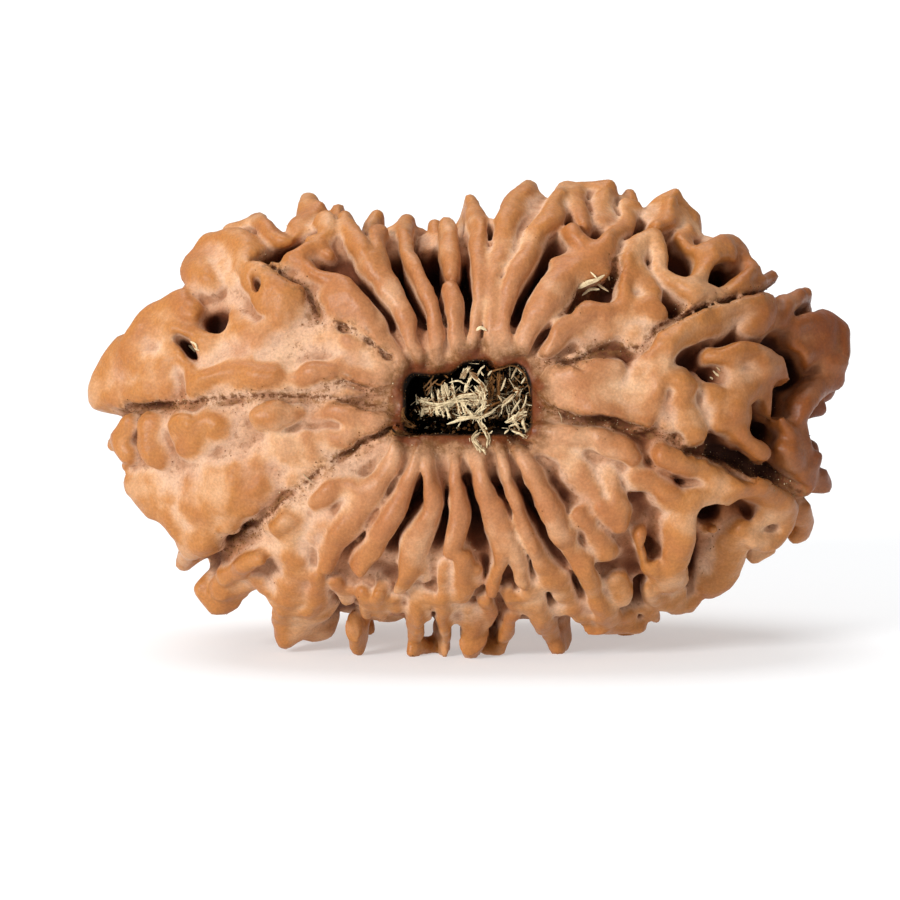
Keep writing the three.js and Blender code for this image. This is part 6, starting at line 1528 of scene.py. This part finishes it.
class Nodes:
    """Short calls for building one material."""

    def __init__(self, name):
        self.material = bpy.data.materials.new(name)
        self.material.use_nodes = True
        self.tree = self.material.node_tree
        self.tree.nodes.clear()

    def add(self, kind, inputs=None, **settings):
        node = self.tree.nodes.new(kind)
        for key, value in settings.items():
            setattr(node, key, value)
        for key, value in (inputs or {}).items():
            if isinstance(value, bpy.types.NodeSocket):
                self.tree.links.new(value, node.inputs[key])
            else:
                node.inputs[key].default_value = value
        return node

    def attribute(self, name):
        return self.add("ShaderNodeAttribute", attribute_name=name).outputs["Fac"]

    def math(self, operation, a, b=0.0):
        return self.add("ShaderNodeMath", {0: a, 1: b}, operation=operation).outputs[0]

    def ramp(self, value, low, high, to_low=0.0, to_high=1.0):
        inputs = {"Value": value, "From Min": low, "From Max": high, "To Min": to_low, "To Max": to_high}
        return self.add("ShaderNodeMapRange", inputs, interpolation_type="SMOOTHSTEP").outputs[0]

    def noise(self, size, detail=2.0, roughness=0.5, distortion=0.0):
        """Noise with features of about that size in mm."""
        place = self.add("ShaderNodeTexCoord").outputs["Object"]
        inputs = {"Vector": place, "Scale": 1 / (size * MM), "Detail": detail,
                  "Roughness": roughness, "Distortion": distortion}
        return self.add("ShaderNodeTexNoise", inputs).outputs["Fac"]

    def mix(self, share, a, b, blend="MIX"):
        """Mixes two colours, each of them a socket or written as on screen."""
        node = self.add("ShaderNodeMix", data_type="RGBA", blend_type=blend)
        for socket, value in ((node.inputs[0], share), (node.inputs[6], a), (node.inputs[7], b)):
            if isinstance(value, bpy.types.NodeSocket):
                self.tree.links.new(value, socket)
            else:
                socket.default_value = linear(value) if isinstance(value, str) else value
        return node.outputs[2]

    def finish(self, shader):
        output = self.add("ShaderNodeOutputMaterial")
        self.tree.links.new(shader, output.inputs["Surface"])
        return self.material


def linear(hex_colour):
    """A colour written as on screen, as the linear values that shaders use."""
    parts = [int(hex_colour[i : i + 2], 16) / 255 for i in (1, 3, 5)]
    return (*[p / 12.92 if p <= 0.04045 else ((p + 0.055) / 1.055) ** 2.4 for p in parts], 1.0)


# Colours of the stone, as on screen: its flesh, from the valleys to the worn crests, with painted shade
# for the walls of the slots and the right end.
DUSTY = "#CFA789"
PALE_FLESH = "#C69265"
MOUTH_TAN = "#A2643A"
OUTER_TAN = "#AE7036"
CREASE = "#8A5630"
RED_PATCH = "#A26236"
PALE_PATCH = "#DAB08A"
MOUTH_RIM = "#D2A27E"
# Painted shade on the walls of the fin slots and of the right end.
FLANK_SHADE = "#8E5024"
# Painted shade of the right end, partly its own browner colour.
RIGHT_END_SHADE = "#9E6A26"

# Dirt and dust in its hollows, along the seams and round the mouth; painted shade in the hollows, the pits
# and the hole.
DIRT_AND_SHADE = "#945222"
SPECK = "#7E5028"
DEEP_SHADE = "#5A2810"
SEAM_DUST = "#8A5F36"
SEAM_DARK = "#5A2E12"
PIT_SHADE = "#2E1005"
STAIN = "#74491F"
RUST = "#6C3210"
HOLE_SHADE = "#0E0603"

# The fibres, from the darkest crumbs to the palest strands.
CHAR = "#120905"
DRY_BROWN = "#80562E"
PALE_STRAW = "#F4E2B8"
STREAK = "#8A5E34"

# The floor's paper and how much it glows.
PAPER = (0.6, 0.61, 0.62, 1)
PAPER_GLOW = 0.4


def stone_material():
    n = Nodes("stone")
    crest = n.attribute("crest")
    cavity = n.attribute("cavity")
    depth = n.attribute("depth")
    seam_gap = n.attribute("seam_gap")
    mouth_gap = n.attribute("mouth_gap")
    patches = n.noise(2.6, detail=3)
    mottle = n.noise(0.9, detail=4, roughness=0.6)
    crumbly = n.noise(0.3, detail=4, roughness=0.7)
    grain = n.noise(0.13, detail=3, roughness=0.6)
    uneven = n.math("MULTIPLY", n.math("SUBTRACT", mottle, 0.5), 0.2)
    fullness = n.math("SUBTRACT", n.math("MULTIPLY", crest, 0.6), n.math("MULTIPLY", cavity, 0.6))
    height = n.math("ADD", fullness, uneven)

    # Flesh: dusty and pale in the valleys, darker in the fine creases, orange brown where hands have worn
    # it.
    colour = n.mix(n.ramp(height, -0.07, 0.07), DUSTY, PALE_FLESH)
    worn = n.math("MULTIPLY", n.ramp(height, 0.0, 0.12), n.ramp(mouth_gap, 0.5, 8.0, 0.6, 0.95))
    tan = n.mix(n.ramp(mouth_gap, 3.0, 9.0), MOUTH_TAN, OUTER_TAN)
    colour = n.mix(worn, colour, tan)
    colour = n.mix(n.ramp(crest, -0.06, -0.16, 0, 0.6), colour, CREASE)
    colour = n.mix(n.ramp(patches, 0.45, 0.68, 0, 0.55), colour, RED_PATCH)
    colour = n.mix(n.ramp(patches, 0.48, 0.3, 0, 0.4), colour, PALE_PATCH)
    colour = n.mix(n.ramp(mouth_gap, 2.6, 0.5, 0, 0.5), colour, MOUTH_RIM)
    right_shade_reach = n.attribute("right_shade_reach")
    # Painted shade, dark brown, down the walls of the fin slots and of the right end.
    shaded_walls = n.math("MAXIMUM", n.attribute("slot"), n.ramp(right_shade_reach, 6.0, 11.0, 0, 0.7))
    flank_shade = n.math("MULTIPLY", n.ramp(depth, 0.45, 1.5, 0, 0.75), shaded_walls)
    colour = n.mix(flank_shade, colour, FLANK_SHADE)
    # Painted shade at the right end: darker and browner, partly its own colour.
    right = n.ramp(right_shade_reach, 9.5, 18.5, 0, 0.85)
    colour = n.mix(right, colour, RIGHT_END_SHADE, "MULTIPLY")

    # Dirt and painted shade: brown in the hollows, and painted shade, nearly black, in the deepest of
    # them.
    deep = n.math("ADD", cavity, n.math("MULTIPLY", uneven, 0.5))
    # Brown dirt and painted shade in the deep hollows.
    dirt_and_shade = n.math("MULTIPLY", n.ramp(deep, -0.02, 0.1, 0, 0.8), n.ramp(depth, 0.9, 1.8, 0.15, 1.0))
    colour = n.mix(dirt_and_shade, colour, DIRT_AND_SHADE)
    specks = n.math("MULTIPLY", n.ramp(deep, -0.01, 0.08, 0, 0.55), n.ramp(crumbly, 0.52, 0.66))
    colour = n.mix(specks, colour, SPECK)
    # Painted shade, nearly black, in the deepest hollows.
    colour = n.mix(n.ramp(deep, 0.09, 0.22, 0, 0.85), colour, DEEP_SHADE)

    # Crumbly brown dust along the seams, darker in the seam itself.
    seam_dust = n.math("MULTIPLY", n.ramp(seam_gap, 0.7, 0.1), n.ramp(crumbly, 0.44, 0.6))
    colour = n.mix(n.math("MULTIPLY", seam_dust, 0.7), colour, SEAM_DUST)
    seam_dark = n.math("MULTIPLY", n.ramp(seam_gap, 0.17, 0.03), n.ramp(crumbly, 0.42, 0.6, 0.1, 0.85))
    colour = n.mix(seam_dark, colour, SEAM_DARK)
    # Painted shade, near black, at the bottom of the deep slots and pits.
    pit = n.math("MULTIPLY", n.ramp(depth, 1.2, 2.6), n.ramp(deep, 0.04, 0.17))
    colour = n.mix(n.math("MULTIPLY", pit, 0.9), colour, PIT_SHADE)

    # Red brown stain round the mouth, and painted shade, near black, inside the hole.
    spread = n.math("ADD", mouth_gap, n.math("MULTIPLY", n.math("SUBTRACT", mottle, 0.5), 1.6))
    stain = n.math("MULTIPLY", n.ramp(spread, 1.5, 0.5), n.ramp(crumbly, 0.3, 0.6, 0.45, 1.0))
    colour = n.mix(n.math("MULTIPLY", stain, 0.9), colour, STAIN)
    rust = n.ramp(spread, 0.7, 0.15, 0, 0.95)
    colour = n.mix(rust, colour, RUST)
    # Painted shade, near black, inside the hole.
    colour = n.mix(n.ramp(mouth_gap, 0.12, -0.06), colour, HOLE_SHADE)

    fleck = n.ramp(grain, 0.3, 0.72, 0.86, 1.1)
    shown = n.add("ShaderNodeVectorMath", {0: colour, 1: fleck}, operation="MULTIPLY")
    rough = n.ramp(height, -0.05, 0.18, 0.85, 0.4)
    rough_spots = n.math("ADD", mottle, n.math("MULTIPLY", crumbly, 0.4))
    relief = n.math("ADD", n.math("MULTIPLY", grain, 0.3), rough_spots)
    bump = n.add("ShaderNodeBump", {"Height": relief, "Strength": 0.45, "Distance": 0.12 * MM})
    shader = n.add("ShaderNodeBsdfPrincipled", {
        "Base Color": shown.outputs[0], "Roughness": rough, "Normal": bump.outputs[0],
        "Subsurface Weight": 0.12, "Subsurface Radius": (1.0, 0.5, 0.3), "Subsurface Scale": 0.5 * MM,
        "Specular IOR Level": 0.3,
    })
    return n.finish(shader.outputs[0])


def fibre_material():
    n = Nodes("fibre")
    tone = n.attribute("tone")
    streak = n.noise(0.12, detail=3, roughness=0.6)
    colour = n.mix(n.ramp(tone, 0.0, 0.5), CHAR, DRY_BROWN)
    colour = n.mix(n.ramp(tone, 0.5, 1.0), colour, PALE_STRAW)
    colour = n.mix(n.ramp(streak, 0.35, 0.65, 0, 0.35), colour, STREAK, "MULTIPLY")
    bump = n.add("ShaderNodeBump", {"Height": streak, "Strength": 0.4, "Distance": 0.04 * MM})
    shader = n.add("ShaderNodeBsdfPrincipled", {
        "Base Color": colour, "Roughness": 0.8, "Normal": bump.outputs[0], "Specular IOR Level": 0.1,
    })
    return n.finish(shader.outputs[0])


def make_stage():
    """A plain white floor, so wide that its edges stay out of sight."""
    corners = FLOOR_REACH * np.array([[-1, -1, 0], [1, -1, 0], [1, 1, 0], [-1, 1, 0]])
    floor = mesh_object("floor", corners, np.array([[0, 1, 2, 3]]))
    paper = Nodes("paper")
    inputs = {"Base Color": PAPER, "Roughness": 0.9, "Specular IOR Level": 0.1,
              "Emission Color": (1, 1, 1, 1), "Emission Strength": PAPER_GLOW}
    floor.data.materials.append(paper.finish(paper.add("ShaderNodeBsdfPrincipled", inputs).outputs[0]))


def make_lights():
    scene = bpy.context.scene
    world = bpy.data.worlds.new("studio")
    world.use_nodes = True
    world.node_tree.nodes["Background"].inputs["Color"].default_value = (1, 1, 1, 1)
    world.node_tree.nodes["Background"].inputs["Strength"].default_value = SKY_STRENGTH
    scene.world = world
    for name, way, energy, angle in LIGHTS:
        sun = bpy.data.lights.new(name, "SUN")
        sun.energy = energy
        sun.angle = math.radians(angle)
        light = bpy.data.objects.new(name, sun)
        scene.collection.objects.link(light)
        light.rotation_euler = Vector(way).to_track_quat("Z", "Y").to_euler()
    scene.view_settings.view_transform = "Standard"


def make_camera(shift):
    """Looks at the face square on from far off."""
    lens = bpy.data.cameras.new("camera")
    lens.lens = LENS
    lens.sensor_width = SENSOR
    lens.clip_start, lens.clip_end = CLIP
    camera = bpy.data.objects.new("camera", lens)
    bpy.context.scene.collection.objects.link(camera)
    distance = PICTURE_WIDTH * MM * LENS / SENSOR
    aim = place_on_floor(np.array([AIM]))[0] + shift
    away = Vector((0, -math.cos(LEAN), -math.sin(LEAN)))
    camera.location = Vector(aim) + away * distance
    camera.rotation_euler = away.to_track_quat("Z", "Y").to_euler()
    bpy.context.scene.camera = camera


field = seed_field()
skin, shift, skin_points, skin_normals = make_seed(field)
clump = make_clump(field, shift)
debris = make_debris(field, shift, skin_points, skin_normals)
skin.data.materials.append(stone_material())
straw = fibre_material()
clump.data.materials.append(straw)
debris.data.materials.append(straw)
make_stage()
make_lights()
make_camera(shift)
